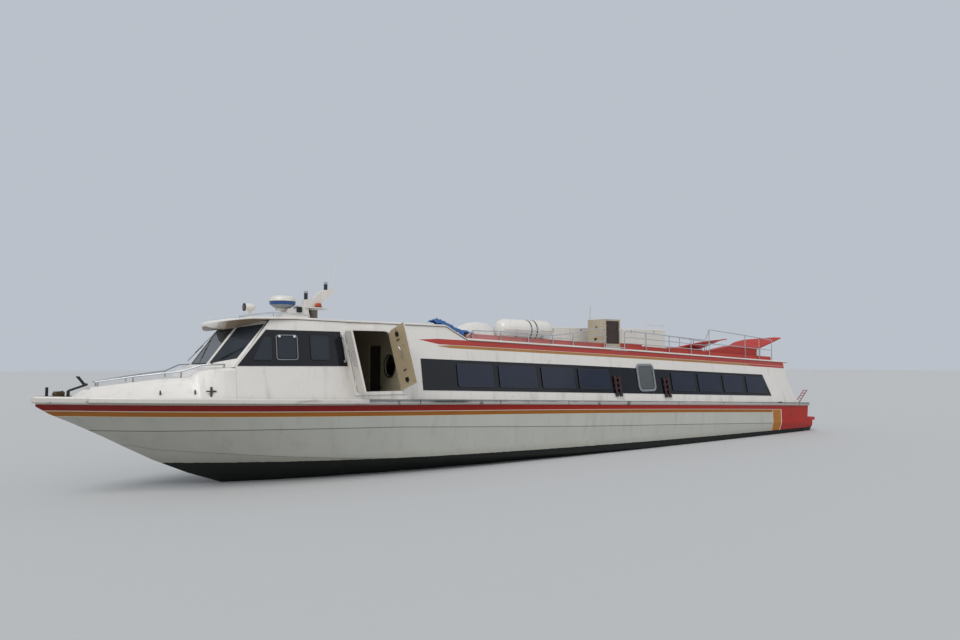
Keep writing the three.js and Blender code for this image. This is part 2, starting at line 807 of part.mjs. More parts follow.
function windscreenPane([edge, across, low, high]) {
  const margin = 0.0004;
  const inset = [across[0] + margin, across[1] - margin];
  return paneBlock(edge, inset, low.map((v) => v + margin), high.map((v) => v - margin), 15, 25);
}

// Walls across the boat
const AFTER_WALL = 45; // its face lies this far inside the side walls' edges
const AFT_DOOR = { sill: 1240, head: 2540, half: 400, clearance: 8 };

function aftWall() {
  // follows the side walls' after edges
  const curve = AFTER_EDGE.slice(1, -1).map(([, z]) => z);
  const rows = [deckLine(570) + 2 * GAP, ...curve, roofUnder(920) - GAP];
  const sections = rows.map((z) => {
    const x = afterEdgeAt(z) + AFTER_WALL;
    const half = side(x, z) - WALL - 5;
    return [point(x, half, z), point(x + 60, half, z), point(x + 60, -half, z), point(x, -half, z)];
  });
  const runner = block(600, 715, -1250, 450, deckLine(715) + 2 * GAP, AFT_DOOR.sill - GAP);
  return join(cut(loft(sections), block(300, 1300, -360, 360, AFT_DOOR.sill, 2500)), runner);
}

function aftDoor() {
  // slides across inside the after wall, whose curve it follows
  const { sill, head, half, clearance } = AFT_DOOR;
  const curve = AFTER_EDGE.map(([, z]) => z).filter((z) => z > sill && z < head);
  const sections = [sill, ...curve, head].map((z) => {
    const x = afterEdgeAt(z) + AFTER_WALL + WALL + clearance;
    return [point(x, half, z), point(x + 40, half, z), point(x + 40, -half, z), point(x, -half, z)];
  });
  return loft(sections);
}

function bulkhead(x, floor) {
  // inside partition with a doorway in the middle
  const high = Math.min(roofUnder(x), roofUnder(x + 30)) - GAP;
  const wide = (z) => Math.min(1500, side(x + 30, Math.max(z, sheer(x))) - WALL - 4);
  const outline = [
    [-wide(floor) + 30, floor + GAP],
    [wide(floor) - 30, floor + GAP],
    [wide(sheer(x)), sheer(x)],
    [wide(high), high],
    [-wide(high), high],
    [-wide(sheer(x)), sheer(x)],
  ];
  const wall = prismYZ(outline, x, x + 30);
  const port = bar([x - 50, 780, 2560], [x + 80, 780, 2560], 250, 20);
  return cut(wall, block(x - 50, x + 80, -300, 300, floor - 10, floor + 2000), port);
}

// Inside
// Bench seats stand in rows on a plinth along each side, stepped up in the forward cabin
const seatRows = [
  // first x, rows, sole
  [5600, 10, WELL_FLOOR],
  [13400, 5, FORWARD_SOLE],
];
const SEAT_PITCH = 740;

function seats(sign) {
  const parts = [];
  for (const [first, rows, sole] of seatRows) {
    for (let i = 0; i < rows; i++) {
      const x = first + i * SEAT_PITCH;
      const profile = [
        [0, 350],
        [400, 380],
        [400, 450],
        [70, 430],
        [-60, 1020],
        [-150, 1010],
      ].map(([dx, dz]) => [x + dx, sole + dz]);
      parts.push(prismXZ(profile, 420, 1400));
      parts.push(block(x + 60, x + 340, 860, 940, sole + 45, sole + 380));
    }
    parts.push(block(first, first + (rows - 1) * SEAT_PITCH + 400, 840, 960, sole + GAP, sole + 50));
  }
  // the plinths meet over the step in the sole
  parts.push(block(12500, 12990, 840, 960, WELL_FLOOR + GAP, FORWARD_SOLE + 50));
  parts.push(block(12900, 13500, 840, 960, FORWARD_SOLE + GAP, FORWARD_SOLE + 50));
  const made = join(parts);
  return sign > 0 ? made : made.mirror([0, 1, 0]);
}

function soleHatch() {
  return block(1200, 5400, -1350, 1350, 700 + GAP, 730);
}

function engine(sign) {
  const body = block(2000, 3700, -360, 360, -40 + GAP, 600);
  return body.translate([0, sign * 620, 0]);
}

function helmConsole() {
  const profile = [
    [20200, 1080 + GAP],
    [20590, 1080 + GAP],
    [20590, 2250],
    [20450, 2350],
    [20200, 2150],
  ];
  return join(prismXZ(profile, -900, 900), steeringWheel());
}
const WHEEL = { x: 20120, y: 450, z: 2120, radius: 210 };

function steeringWheel() {
  // rim, hub and three spokes, its shaft pointing forward into the console
  const rim = new THREE.TorusGeometry(WHEEL.radius, 16, 6, 20).rotateY(Math.PI / 2);
  const parts = [placed(rim, WHEEL.x, WHEEL.y, WHEEL.z)];
  parts.push(bar([WHEEL.x - 15, WHEEL.y, WHEEL.z], [WHEEL.x + 120, WHEEL.y, WHEEL.z], 26));
  for (const degrees of [90, 210, 330]) {
    const a = (degrees * Math.PI) / 180;
    const end = [WHEEL.x, WHEEL.y + WHEEL.radius * Math.cos(a), WHEEL.z + WHEEL.radius * Math.sin(a)];
    parts.push(bar([WHEEL.x, WHEEL.y, WHEEL.z], end, 11, 6));
  }
  return join(parts);
}

function helmSeat() {
  const y0 = 200;
  const y1 = 700;
  const profile = [
    [19350, 1640],
    [19780, 1660],
    [19780, 1750],
    [19440, 1730],
    [19330, 2330],
    [19250, 2310],
  ];
  const cushion = prismXZ(profile, y0, y1);
  const pedestal = bar([19580, 450, 1085], [19580, 450, 1680], 60, 10);
  const foot = block(19430, 19730, 300, 600, 1080 + GAP, 1110);
  return join(cushion, pedestal, foot);
}

// Roof gear
const roofTopAt = (x, y) => {
  // top of the cabin roof at a place, along its straight stations
  const i = Math.max(1, cabinRoofStations.findIndex((at) => at >= x));
  const [x0, x1] = [cabinRoofStations[i - 1], cabinRoofStations[i]];
  const t = (x - x0) / (x1 - x0);
  const edge = (at) => sheer(at) + ROOF_RISE;
  const half = side(x, edge(x) - ROOF) + 25;
  const share = Math.min(1, Math.abs(y) / half);
  return edge(x0) * (1 - t) + edge(x1) * t + CAMBER * (1 - share * share);
};
const HATCH = { x0: 9770, x1: 10440, y0: 600, y1: 1330, top: 3970 };
const HATCH_BAY = { x0: HATCH.x0 - 10, x1: HATCH.x1 + 40 };
// Red coaming round the roof, open abreast of the hatch house, with a higher piece just aft of it
const COAMING = { x0: 1500, x1: 15580, y0: 1345, y1: 1400, rise: 125 };

function roofCoaming() {
  const { x0, x1, y0, y1, rise } = COAMING;
  const xs = [x0, ...cabinRoofStations.filter((x) => x > x0 && x < x1), x1];
  const beam = (from, to, inner, outer, height) => {
    const between = [from, ...xs.filter((x) => x > from && x < to), to];
    return loft(
      between.map((x) => [
        point(x, inner, roofTopAt(x, inner) - 30),
        point(x, outer, roofTopAt(x, outer) - 30),
        point(x, outer - 12, roofTopAt(x, outer) + height),
        point(x, inner + 8, roofTopAt(x, inner) + height - 4),
      ]),
    );
  };
  const port = [beam(x0, HATCH_BAY.x0, y0, y1, rise), beam(HATCH_BAY.x1, x1, y0, y1, rise)];
  const raised = beam(8850, HATCH_BAY.x0, y0 - 60, y1 + 8, rise + 45);
  const starboard = beam(x0, x1, y0, y1, rise).mirror([0, 1, 0]);
  const across = [x0, x1 - 50].map((x) => {
    const ys = [1390, 1267, 800, 370, 0, -370, -800, -1267, -1390];
    const top = ys.map((y) => [y, roofTopAt(x, y) + rise - 8]);
    const low = ys.map((y) => [y, roofTopAt(x, y) - 30]).reverse();
    return prismYZ([...top, ...low], x, x + 50);
  });
  return cut(join(port, raised, starboard, across), below(cabinRoofSections()));
}

const hatchSill = () => roofTopAt(HATCH.x1, HATCH.y1) + 120;

function hatchHouse() {
  // moulded in one with the bay of the roof that it stands on
  const { x0, x1, y0, y1, top } = HATCH;
  const shell = loft(
    [x0, x1].map((x) => [
      point(x, y0, roofTopAt(x, y0) - 30),
      point(x, y1, roofTopAt(x, y1) - 30),
      point(x, y1, top),
      point(x, y0, top),
    ]),
  );
  const inside = block(x0 + 40, x1 - 40, y0 + 40, y1 - 40, 2800, top - 40);
  const aerial = bar([x1 - 30, y0 + 60, top - 20], [x1 - 60, y0 + 60, top + 410], 9, 6);
  const doorway = block(x0 + 50, x1 - 50, y1 - 80, y1 + 80, hatchSill(), top - 50);
  const reliefs = hatchHinges.map((z) => hatchKnuckle(z, 16, -6, 46));
  const knuckles = hatchHinges.map((z) => hatchKnuckle(z, 10, -40 - GAP, -GAP));
  return join(cut(join(cabinRoof().bay, shell, aerial), inside, doorway, reliefs), knuckles);
}

const hatchHinges = [3450, 3800];

function hatchKnuckle(z, radius, from, to) {
  const x = HATCH.x1 - 56;
  const y = HATCH.y1 - 2;
  return bar([x, y, z + from], [x, y, z + to], radius, 10);
}

function hatchDoor() {
  // one leaf in the doorway on the port side, hinged at its forward edge
  const { x0, x1, y1, top } = HATCH;
  const leaf = block(x0 + 56, x1 - 56, y1 - 38, y1 - 2, hatchSill() + 6, top - 56);
  const reliefs = hatchHinges.map((z) => hatchKnuckle(z, 16, -46, 6));
  const knuckles = hatchHinges.map((z) => hatchKnuckle(z, 10, GAP, 40));
  return join(cut(leaf, reliefs), knuckles);
}

const RAFT = { x: 13190, y: 750, length: 1960, radius: 308, z: 3565 };

function lifeRaft() {
  const { x, y, length, radius } = RAFT;
  const r = radius;
  const half = length / 2;
  const profile = [
    [0, -half],
    [r * 0.55, -half + 15],
    [r * 0.86, -half + 90],
    [r, -half + 240],
    [r, half - 240],
    [r * 0.86, half - 90],
    [r * 0.55, half - 15],
    [0, half],
  ].map(([a, b]) => new THREE.Vector2(a, b));
  return placed(new THREE.LatheGeometry(profile, 18), x, y, RAFT.z, 0, 0, Math.PI / 2);
}

function raftCradle() {
  const { x, y, z, radius } = RAFT;
  const foot = roofTopAt(x, y) - 60;
  const grown = new THREE.CylinderGeometry(radius + GAP, radius + GAP, 2000, 18);
  const raft = placed(grown, x, y, z, 0, 0, Math.PI / 2);
  const chocks = [-480, 480].map((dx) => block(x + dx - 40, x + dx + 40, y - 270, y + 270, foot, z - 150));
  const beams = [-250, 250].map((dy) => block(x - 500, x + 500, y + dy - 20, y + dy + 20, foot, foot + 110));
  return cut(join(chocks, beams), raft, below(cabinRoofSections()));
}

function airUnit() {
  // low cover of the cabin's air conditioning, moulded with the roof
  const rows = [
    // x, half width, height
    [14180, 260, 60],
    [14280, 330, 300],
    [14480, 360, 430],
    [14800, 360, 450],
    [15100, 330, 330],
    [15350, 280, 140],
    [15450, 240, 40],
  ];
  const y = 450;
  const sections = rows.map(([x, half, height]) => {
    const z = roofTopAt(x, y) + 12;
    return [
      point(x, y + half, z - 30),
      point(x, y + half, z + height * 0.5),
      point(x, y + half * 0.7, z + height),
      point(x, y - half * 0.7, z + height),
      point(x, y - half, z + height * 0.5),
      point(x, y - half, z - 30),
    ];
  });
  return loft(sections);
}

function roofLocker() {
  // a long white locker on the centreline, broken by nothing but its lids, with a low hoop at its after end
  const rows = [
    [6320, 3800],
    [12250, 3725],
  ];
  const sections = rows.map(([x, top]) => [
    point(x, 300, 3000),
    point(x, 300, top - 15),
    point(x, 285, top),
    point(x, -285, top),
    point(x, -300, top - 15),
    point(x, -300, 3000),
  ]);
  const hoop = pipe(
    [point(6360, 260, 3700), point(6360, 260, 3950), point(7250, 260, 3945), point(7250, 260, 3700)],
    16,
    6,
  );
  return cut(join(loft(sections), hoop), below(cabinRoofSections()));
}

// Rails of bent tube. Posts stand on the roof's edge beside the raised panel.
const RAIL_Y = 1440;
const TUBE = 16;
const railTop = [
  // x, height above the roof
  [15700, 40],
  [15500, 210],
  [14400, 240],
  [13500, 250],
  [12690, 240],
  [11900, 350],
  [11160, 490],
  [10600, 560],
  [9700, 520],
  [9400, 560],
  [7550, 530],
  [5600, 500],
  [5390, 880],
  [3240, 820],
  [1500, 760],
];
const LANDING = [10600, 9700]; // gap in the rails abreast of the hatch house door
const railPosts = [15500, 14570, 13600, 12690, 11900, 10600, 9700, 8690, 7550, 6400, 5390, 3240, 2350, 1500];

function roofRail(sign) {
  const y = sign * RAIL_Y;
  const at = (x, up) => point(x, y, roofTopAt(x, y) + up);
  const heightAt = (x) => {
    const i = railTop.findIndex(([end]) => end <= x);
    if (i === 0) return railTop[0][1];
    const [x0, h0] = railTop[i - 1];
    const [x1, h1] = railTop[i];
    return h0 + ((h1 - h0) * (x - x0)) / (x1 - x0);
  };
  const landing = railTop.findIndex(([x]) => x < LANDING[0]);
  const parts = [railTop.slice(0, landing), railTop.slice(landing)].map((run) =>
    pipe(run.map(([x, up]) => at(x, up)), TUBE, 6),
  );
  for (const x of railPosts) parts.push(bar(at(x, -30), at(x, heightAt(x)), TUBE, 6));
  for (const share of [0.66, 0.33]) {
    for (const xs of [
      [11900, 11160, 10600],
      [9700, 9400, 7550, 5600, 5390],
    ]) {
      parts.push(pipe(xs.map((x) => at(x, Math.min(heightAt(x), 560) * share)), TUBE * 0.8, 6));
    }
  }
  parts.push(pipe([at(14570, 150), at(12690, 170), at(11900, 180)], TUBE * 0.8, 6));
  parts.push(bar(at(1500, 380), at(5390, 400), TUBE * 0.8, 6));
  parts.push(bar(at(LANDING[1], 30), at(LANDING[0], 30), TUBE * 0.8, 6)); // toe bar across the landing
  return cut(join(parts), below(cabinRoofSections()));
}

// Red wings at the after corners of the roof
function roofWing(sign) {
  // a faired vent body, and over it a swept plate whose inner edge rises and whose tip lies aft
  const body = prismXZ(
    [
      [2330, 2600],
      [5480, 2700],
      [5480, 3010],
      [3960, 3236],
      [3310, 3226],
      [2330, 3142],
    ],
    1030,
    1320,
  );
  const thick = 38;
  const rows = [
    // x, outer y, outer z, inner y, inner z
    [3780, 1330, 3225, 1050, 3235],
    [3060, 1330, 3210, 880, 3400],
    [2300, 1330, 3160, 780, 3505],
    [1400, 1330, 3400, 830, 3570],
    [640, 1320, 3610, 1050, 3625],
  ];
  const plate = loft(
    rows.map(([x, y1, z1, y0, z0]) => [
      point(x, y1, z1 - thick),
      point(x, y1, z1),
      point(x, y0, z0),
      point(x, y0, z0 - thick),
    ]),
  );
  const made = join(body, plate);
  return cut(sign > 0 ? made : made.mirror([0, 1, 0]), below(cabinRoofSections()));
}

// Wheelhouse roof gear
const wheelhouseTopAt = (x, y) => {
  const i = Math.max(1, wheelhouseRoofTop.findIndex(([at]) => at >= x));
  const [x0, z0] = wheelhouseRoofTop[i - 1];
  const [x1, z1] = wheelhouseRoofTop[i];
  const t = (x - x0) / (x1 - x0);
  const half = side(x, z0) + 25;
  const share = Math.min(1, Math.abs(y) / half);
  return z0 + (z1 - z0) * t + 55 * (1 - share * share);
};

function mast() {
  // moulded pedestal on a dark base, with the radar's bracket, the lights' arm and the aerials
  const base = block(19480, 20100, -300, 300, 3600, 3790);
  const pedestal = prismXZ(
    [
      [19460, 3780],
      [20010, 3780],
      [19995, 3920],
      [19720, 3925],
      [19690, 4010],
      [19490, 4015],
    ],
    -220,
    220,
  );
  const bracket = block(19850, 20180, -90, 90, 3880, 3930);
  const arm = prismXZ(
    [
      [19200, 3960],
      [19540, 3960],
      [19540, 4165],
      [19330, 4190],
      [19040, 4430],
      [18680, 4450],
      [18990, 4180],
    ],
    -70,
    70,
  );
  const tray = block(18930, 19560, -260, 260, 3955, 3980);
  const foot = bar([19270, 0, 3600], [19270, 0, 3960], 110, 14);
  const aerials = [
    bar([19440, -120, 3970], [19280, -120, 5150], 9, 6),
    bar([18810, 0, 4430], [18610, 0, 5450], 10, 6),
  ];
  const lights = [
    bar([19460, 0, 4150], [19460, 0, 4380], 46, 10),
    bar([18950, 0, 4400], [18950, 0, 4635], 46, 10),
  ];
  return cut(join(base, pedestal, bracket, arm, tray, foot, aerials, lights), below(wheelhouseRoofSections()));
}

function radarDome() {
  return turned(
    [
      [0, 0],
      [150, 0],
      [215, 30],
      [298, 95],
      [305, 165],
      [285, 250],
      [200, 295],
      [0, 310],
    ],
    20040,
    0,
    3930 + GAP,
    24,
  );
}
const LAMP = { x: 20910, y: 300, z: 3900 };
const lampSeat = () => wheelhouseTopAt(LAMP.x - 30, LAMP.y) + 22;

function searchlight() {
  // turns on the flat top of a boss on the roof
  const { x, y, z } = LAMP;
  const neck = bar([x, y, lampSeat() + GAP], [x, y, z - 40], 30, 12);
  const profile = [
    [0, -125],
    [45, -118],
    [78, -80],
    [84, 0],
    [86, 140],
    [0, 140],
  ].map(([r, h]) => new THREE.Vector2(r, h));
  const head = placed(new THREE.LatheGeometry(profile, 16), x, y, z, 0, 0, -Math.PI / 2);
  return join(neck, head);
}

// Bow gear
function trunkTopAt(x) {
  const i = Math.max(1, trunkStations.findIndex(([at]) => at >= x));
  const [x0, , z0] = trunkStations[i - 1];
  const [x1, , z1] = trunkStations[i];
  return z0 + ((z1 - z0) * (x - x0)) / (x1 - x0);
}

function trunkHalfAt(x) {
  const i = Math.max(1, trunkStations.findIndex(([at]) => at >= x));
  const [x0, h0] = trunkStations[i - 1];
  const [x1, h1] = trunkStations[i];
  return h0 + ((h1 - h0) * (x - x0)) / (x1 - x0);
}

function bowRail(sign) {
  const inside = 90;
  const p = (x, up) => point(x, sign * (trunkHalfAt(x) - inside), trunkTopAt(x) + up);
  const run = [p(23950, 90), p(23300, 110), p(22450, 130)];
  const high = point(21700, sign * 1150, 2552 + 60);
  const parts = [pipe([...run, point(22100, sign * 960, 2600), high], TUBE, 6)];
  for (const [x, up] of [
    [23900, 92],
    [23300, 110],
    [22450, 130],
  ]) {
    parts.push(bar(p(x, 1), p(x, up), TUBE, 6));
  }
  parts.push(bar(point(21700, sign * 1080, 2556), high, TUBE));
  return parts.length ? cut(join(parts), foredeckGrown(), windscreenSpace()) : null;
}

function foredeckGrown() {
  return foredeck().translate([0, 0, GAP]);
}

function windscreenSpace() {
  const skins = [0, 1, 2].map((edge) => paneBlock(edge, [0, 1], [0, 0], [1.1, 1.1], -4, SCREEN_THICK));
  return join(skins);
}

function bowPost() {
  return bar([24760, 0, deckLine(24790) + GAP / 2], [24760, 0, 2170], 28, 10);
}

function anchor() {
  // stowed on the step at the fore end of the trunk: shank, crown and two flukes
  const foot = deckLine(24430) + GAP;
  const shank = bar([24060, 0, 2215], [24400, 0, 2090], 24);
  const post = bar([24395, 0, foot], [24395, 0, 2092], 30);
  const crown = bar([24110, -170, 2215], [24110, 170, 2215], 22);
  const flukes = [150, -150].map((y) =>
    loft([
      [point(24110, y - 45, 2200), point(24110, y + 45, 2200), point(24150, y + 45, 2235), point(24150, y - 45, 2235)],
      [point(24230, y - 10, 2360), point(24230, y + 10, 2360), point(24250, y + 10, 2370), point(24250, y - 10, 2370)],
    ]),
  );
  return cut(join(shank, post, crown, flukes), foredeckGrown());
}

function ropeCoil() {
  // mooring rope flaked down on the foredeck
  const x = 24570;
  const z = deckLine(24660) + GAP;
  return turned(
    [
      [0, 10],
      [40, 0],
      [95, 0],
      [115, 40],
      [105, 95],
      [75, 130],
      [45, 110],
      [0, 60],
    ],
    x - 10,
    0,
    z,
    14,
  );
}

// Stern
function sternPlatform() {
  // a boarding step right across, on a box that carries the hull's lines aft
  const ring = (x) => {
    const port = [point(x, 1400, -80), point(x, 1680, 0), point(x, 1800, 250), point(x, 1800, 430)];
    return [...port, ...port.map(mirrorY).reverse()];
  };
  const box = loft([ring(TRANSOM - 500), ring(TRANSOM - GAP)]);
  const step = prismXY(roundedRectangle(TRANSOM - 750, TRANSOM - GAP, -1800, 1800, 90, 3), 410, 520);
  const root = block(TRANSOM - 200, TRANSOM - GAP, -1800, 1800, 410, 520);
  return join(box, step, root);
}

// Running gear under the stern: shafts on struts, propellers and rudders
const SHAFT = { x: 700, y: 850, z: -530, slope: Math.tan((8 * Math.PI) / 180), radius: 30 };
const bottomAt = (x, y) => {
  // height of the hull's bottom at a place, on the straight line from keel to chine
  const i = Math.max(1, stations.findIndex(([at]) => at >= x));
  const [a, b] = [stations[i - 1], stations[i]];
  const t = (x - a[0]) / (b[0] - a[0]);
  const keel = a[1] + (b[1] - a[1]) * t;
  const chineY = a[2] + (b[2] - a[2]) * t;
  const chineZ = a[3] + (b[3] - a[3]) * t;
  return keel + ((chineZ - keel) * Math.abs(y)) / chineY;
};

function shaftAndStrut(sign) {
  const y = sign * SHAFT.y;
  const z = (x) => SHAFT.z + (x - SHAFT.x) * SHAFT.slope;
  const shaft = bar([SHAFT.x + 60, y, z(SHAFT.x + 60)], [3400, y, z(3400)], SHAFT.radius, 10);
  const boss = bar([SHAFT.x + 60, y, z(SHAFT.x + 60)], [SHAFT.x + 260, y, z(SHAFT.x + 260)], 55, 12);
  const strut = prismXZ(
    [
      [SHAFT.x + 100, -560],
      [SHAFT.x + 220, -560],
      [SHAFT.x + 320, 100],
      [SHAFT.x + 160, 100],
    ],
    y - 14,
    y + 14,
  );
  return cut(join(shaft, boss, strut), hullBottomSpace());
}

function hullBottomSpace() {
  const sections = stations
    .filter(([x]) => x < 7000)
    .map(([x, keelZ, chineY, chineZ]) => [
      point(x, 0, keelZ - GAP * 1.5),
      point(x, chineY, chineZ - GAP * 1.5),
      point(x, chineY, 900),
      point(x, -chineY, 900),
      point(x, -chineY, chineZ - GAP * 1.5),
    ]);
  return loft(sections);
}
const BLADES = 4;
const PROP_RADIUS = 240;

function propeller(sign) {
  const hub = bar([SHAFT.x - 110, 0, 0], [SHAFT.x + 60 / Math.cos((8 * Math.PI) / 180) - GAP, 0, 0], 52, 12);
  const parts = [hub];
  for (let i = 0; i < BLADES; i++) {
    const twistIn = 0.9;
    const twistOut = 0.45;
    const rows = [
      [30, 55, twistIn],
      [120, 110, (twistIn + twistOut) / 2],
      [200, 95, twistOut],
      [PROP_RADIUS, 40, twistOut],
    ];
    const sections = rows.map(([r, chord, angle]) => {
      const dx = Math.sin(angle) * chord;
      const dy = Math.cos(angle) * chord;
      const t = 7;
      const x = SHAFT.x - 35;
      return [
        point(x - dx - t, -dy, r),
        point(x - t * 1.2, 0, r),
        point(x + dx - t, dy, r),
        point(x + dx + t, dy, r),
        point(x + t * 1.2, 0, r),
        point(x - dx + t, -dy, r),
      ];
    });
    const blade = loft(sections);
    parts.push(blade.rotate([(360 * i) / BLADES, 0, 0]));
  }
  const made = join(parts)
    .translate([-SHAFT.x, 0, 0])
    .rotate([0, -8, 0])
    .translate([SHAFT.x, SHAFT.y, SHAFT.z]);
  return sign > 0 ? made : made.mirror([0, 1, 0]);
}
const RUDDER = { x: 190, y: 850, bearing: -262 };

function rudder(sign) {
  const y = sign * RUDDER.y;
  const top = bottomAt(RUDDER.x, RUDDER.y) - 75;
  const bottom = -840;
  const blade = loft(
    [bottom, top].map((z) => [
      point(RUDDER.x + 100, y, z),
      point(RUDDER.x + 20, y + 24, z),
      point(RUDDER.x - 260, y + 5, z),
      point(RUDDER.x - 260, y - 5, z),
      point(RUDDER.x + 20, y - 24, z),
    ]),
  );
  const stock = bar([RUDDER.x, y, top - 40], [RUDDER.x, y, RUDDER.bearing - GAP], 20, 12);
  return join(blade, stock);
}

// Colours, from the boat as she lies
const paint = (color, roughness = 0.4, metalness = 0) =>
  new THREE.MeshStandardMaterial({ color, roughness, metalness });
const white = paint(0xe6e4dd);
const hullPaint = paint(0xc9c9bf);
const greyRubber = paint(0x8d8d8b, 0.8);
const tintedGlass = paint(0x20242c, 0.12);
const red = paint(0xd5402c, 0.45);
const cream = paint(0xd8c9a8, 0.5);
const steel = paint(0xb9bcc0, 0.25, 0.9);
const bronze = paint(0xa67c43, 0.35, 0.9);
const black = paint(0x26262a, 0.6);
const seatCloth = paint(0x2f4a7a, 0.9);
const rope = paint(0xa08a62, 0.95);
const floorGrey = paint(0x83827d, 0.8);

const ferry = new THREE.Group();

function add(name, made, material) {
  const mesh = new THREE.Mesh(geometryOf(made), material);
  mesh.name = name;
  ferry.add(mesh);
}

add("hull", hull(), hullPaint);
add("bow_moulding", bowMoulding(), white);
add("foredeck", foredeck(), white);
const roofs = cabinRoof();
add("cabin_roof_forward", roofs.forward, white);
add("cabin_roof_aft", roofs.aft, white);
add("wheelhouse_roof", wheelhouseRoof(), white);
add("windscreen_frame", windscreenFrame(), white);
add("windscreen_port", windscreenPane(panes[0]), tintedGlass);
add("windscreen_centre", windscreenPane(panes[1]), tintedGlass);
add("windscreen_starboard", windscreenPane(panes[2]), tintedGlass);
add("cabin_aft_wall", aftWall(), white);
add("aft_door", aftDoor(), cream);
add("entrance_bulkhead", bulkhead(17540, 1080), cream);
add("roof_coaming", roofCoaming(), red);
add("hatch_house", hatchHouse(), cream);
add("hatch_door", hatchDoor(), cream);
add("life_raft", lifeRaft(), white);
add("raft_cradle", raftCradle(), steel);
add("roof_locker", roofLocker(), white);
add("mast", mast(), white);
add("radar_dome", radarDome(), white);
add("searchlight", searchlight(), white);
add("bow_post", bowPost(), black);
add("anchor", anchor(), black);
add("rope_coil", ropeCoil(), rope);
add("stern_platform", sternPlatform(), red);
add("sole_hatch", soleHatch(), floorGrey);
add("forward_sole", forwardSole(), floorGrey);
add("helm_console", helmConsole(), floorGrey);
add("helm_seat", helmSeat(), black);

for (const [name, sign] of [
  ["port", 1],
  ["starboard", -1],
]) {
  add("side_fender_" + name, sideFender(sign), greyRubber);
  add("cabin_side_" + name, sideWall(sign), white);
  add("window_band_" + name, glassBand(cabinBandOutline(), sign), tintedGlass);
  add("wheelhouse_window_" + name, glassBand(wheelhouseBandOutline, sign), tintedGlass);
  add("emergency_window_" + name, emergencyFrame(sign), steel);
  add("roof_rail_" + name, roofRail(sign), steel);
  add("roof_wing_" + name, roofWing(sign), red);
  add("bow_rail_" + name, bowRail(sign), steel);
  add("seats_" + name, seats(sign), seatCloth);
  add("engine_" + name, engine(sign), black);
  add("shaft_strut_" + name, shaftAndStrut(sign), bronze);
  add("propeller_" + name, propeller(sign), bronze);
  add("rudder_" + name, rudder(sign), bronze);
  // the port doors lie open, the starboard doors are shut
  const open = sign > 0;
  add("door_forward_" + name, doorLeaf("forward", open ? -FORWARD_LEAF_OPEN : 0, sign), white);
  add("door_aft_" + name, doorLeaf("aft", open ? AFT_LEAF_OPEN : 0, sign), white);
}

export default ferry;
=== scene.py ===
"""Looks for a fast passenger ferry, 25 m long, moulded in glass-reinforced plastic, afloat at Z = 0.

X runs forward from the transom, Y to port and Z up, in metres.
"""

import math

import bmesh
import bpy
from mathutils import Matrix, Vector
from mathutils.bvhtree import BVHTree


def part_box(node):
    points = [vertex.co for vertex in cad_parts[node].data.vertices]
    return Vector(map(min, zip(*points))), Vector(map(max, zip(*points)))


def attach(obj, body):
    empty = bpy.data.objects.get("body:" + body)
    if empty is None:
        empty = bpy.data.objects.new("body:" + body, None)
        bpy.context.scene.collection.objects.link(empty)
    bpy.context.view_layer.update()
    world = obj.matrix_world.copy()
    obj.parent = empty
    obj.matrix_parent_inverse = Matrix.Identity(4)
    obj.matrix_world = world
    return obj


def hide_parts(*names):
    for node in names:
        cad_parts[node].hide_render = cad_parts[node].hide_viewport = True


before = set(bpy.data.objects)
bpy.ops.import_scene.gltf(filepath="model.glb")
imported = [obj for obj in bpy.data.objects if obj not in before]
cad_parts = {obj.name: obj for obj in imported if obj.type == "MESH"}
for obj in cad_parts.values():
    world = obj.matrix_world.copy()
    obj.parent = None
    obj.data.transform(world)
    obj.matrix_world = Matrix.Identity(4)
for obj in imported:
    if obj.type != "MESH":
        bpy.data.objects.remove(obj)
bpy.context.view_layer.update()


# The view: a low camera off the port bow, a plain pale floor in the plane of the water, and soft
# daylight from a pale sky.

camera_data = bpy.data.cameras.new("camera")
camera_data.sensor_width = 36
camera_data.lens = 26.25
camera_data.clip_end = 400
camera = bpy.data.objects.new("camera", camera_data)
camera.location = (26.189, 16.085, 2.663)
heading = math.radians(233.276)
rise = math.radians(3.434)
sight = Vector((math.cos(heading) * math.cos(rise), math.sin(heading) * math.cos(rise), math.sin(rise)))
camera.rotation_euler = sight.to_track_quat("-Z", "Y").to_euler()
bpy.context.scene.collection.objects.link(camera)
bpy.context.scene.camera = camera
bpy.context.scene.view_settings.view_transform = "Standard"

floor_shape = bmesh.new()
bmesh.ops.create_grid(floor_shape, x_segments=1, y_segments=1, size=220)
floor_mesh = bpy.data.meshes.new("floor")
floor_shape.to_mesh(floor_mesh)
floor_shape.free()
floor = bpy.data.objects.new("floor", floor_mesh)
bpy.context.scene.collection.objects.link(floor)
floor_finish = bpy.data.materials.new("floor")
floor_finish.use_nodes = True
floor_surface = floor_finish.node_tree.nodes["Principled BSDF"]
floor_surface.inputs["Base Color"].default_value = (0.5, 0.5, 0.49, 1)
floor_surface.inputs["Roughness"].default_value = 0.9
floor_mesh.materials.append(floor_finish)

sky = bpy.data.worlds.new("sky")
sky.use_nodes = True
sky.node_tree.nodes["Background"].inputs["Color"].default_value = (0.80, 0.86, 0.95, 1)
sky.node_tree.nodes["Background"].inputs["Strength"].default_value = 0.62
bpy.context.scene.world = sky

for lamp_name, energy, angle, turn in (
    ("daylight", 1.5, 35, (38, 0, 118)),
    ("fill", 0.35, 60, (60, 0, 200)),
):
    lamp_data = bpy.data.lights.new(lamp_name, "SUN")
    lamp_data.energy = energy
    lamp_data.angle = math.radians(angle)
    lamp = bpy.data.objects.new(lamp_name, lamp_data)
    lamp.rotation_euler = [math.radians(v) for v in turn]
    bpy.context.scene.collection.objects.link(lamp)


# The hull: a hard-chine moulding, white with a dark red and a gold stripe under the gunwale, a black
# bottom, and red quarters aft of a slanting gold band. Grime hangs in streaks below the gunwale and
# over the waterline.


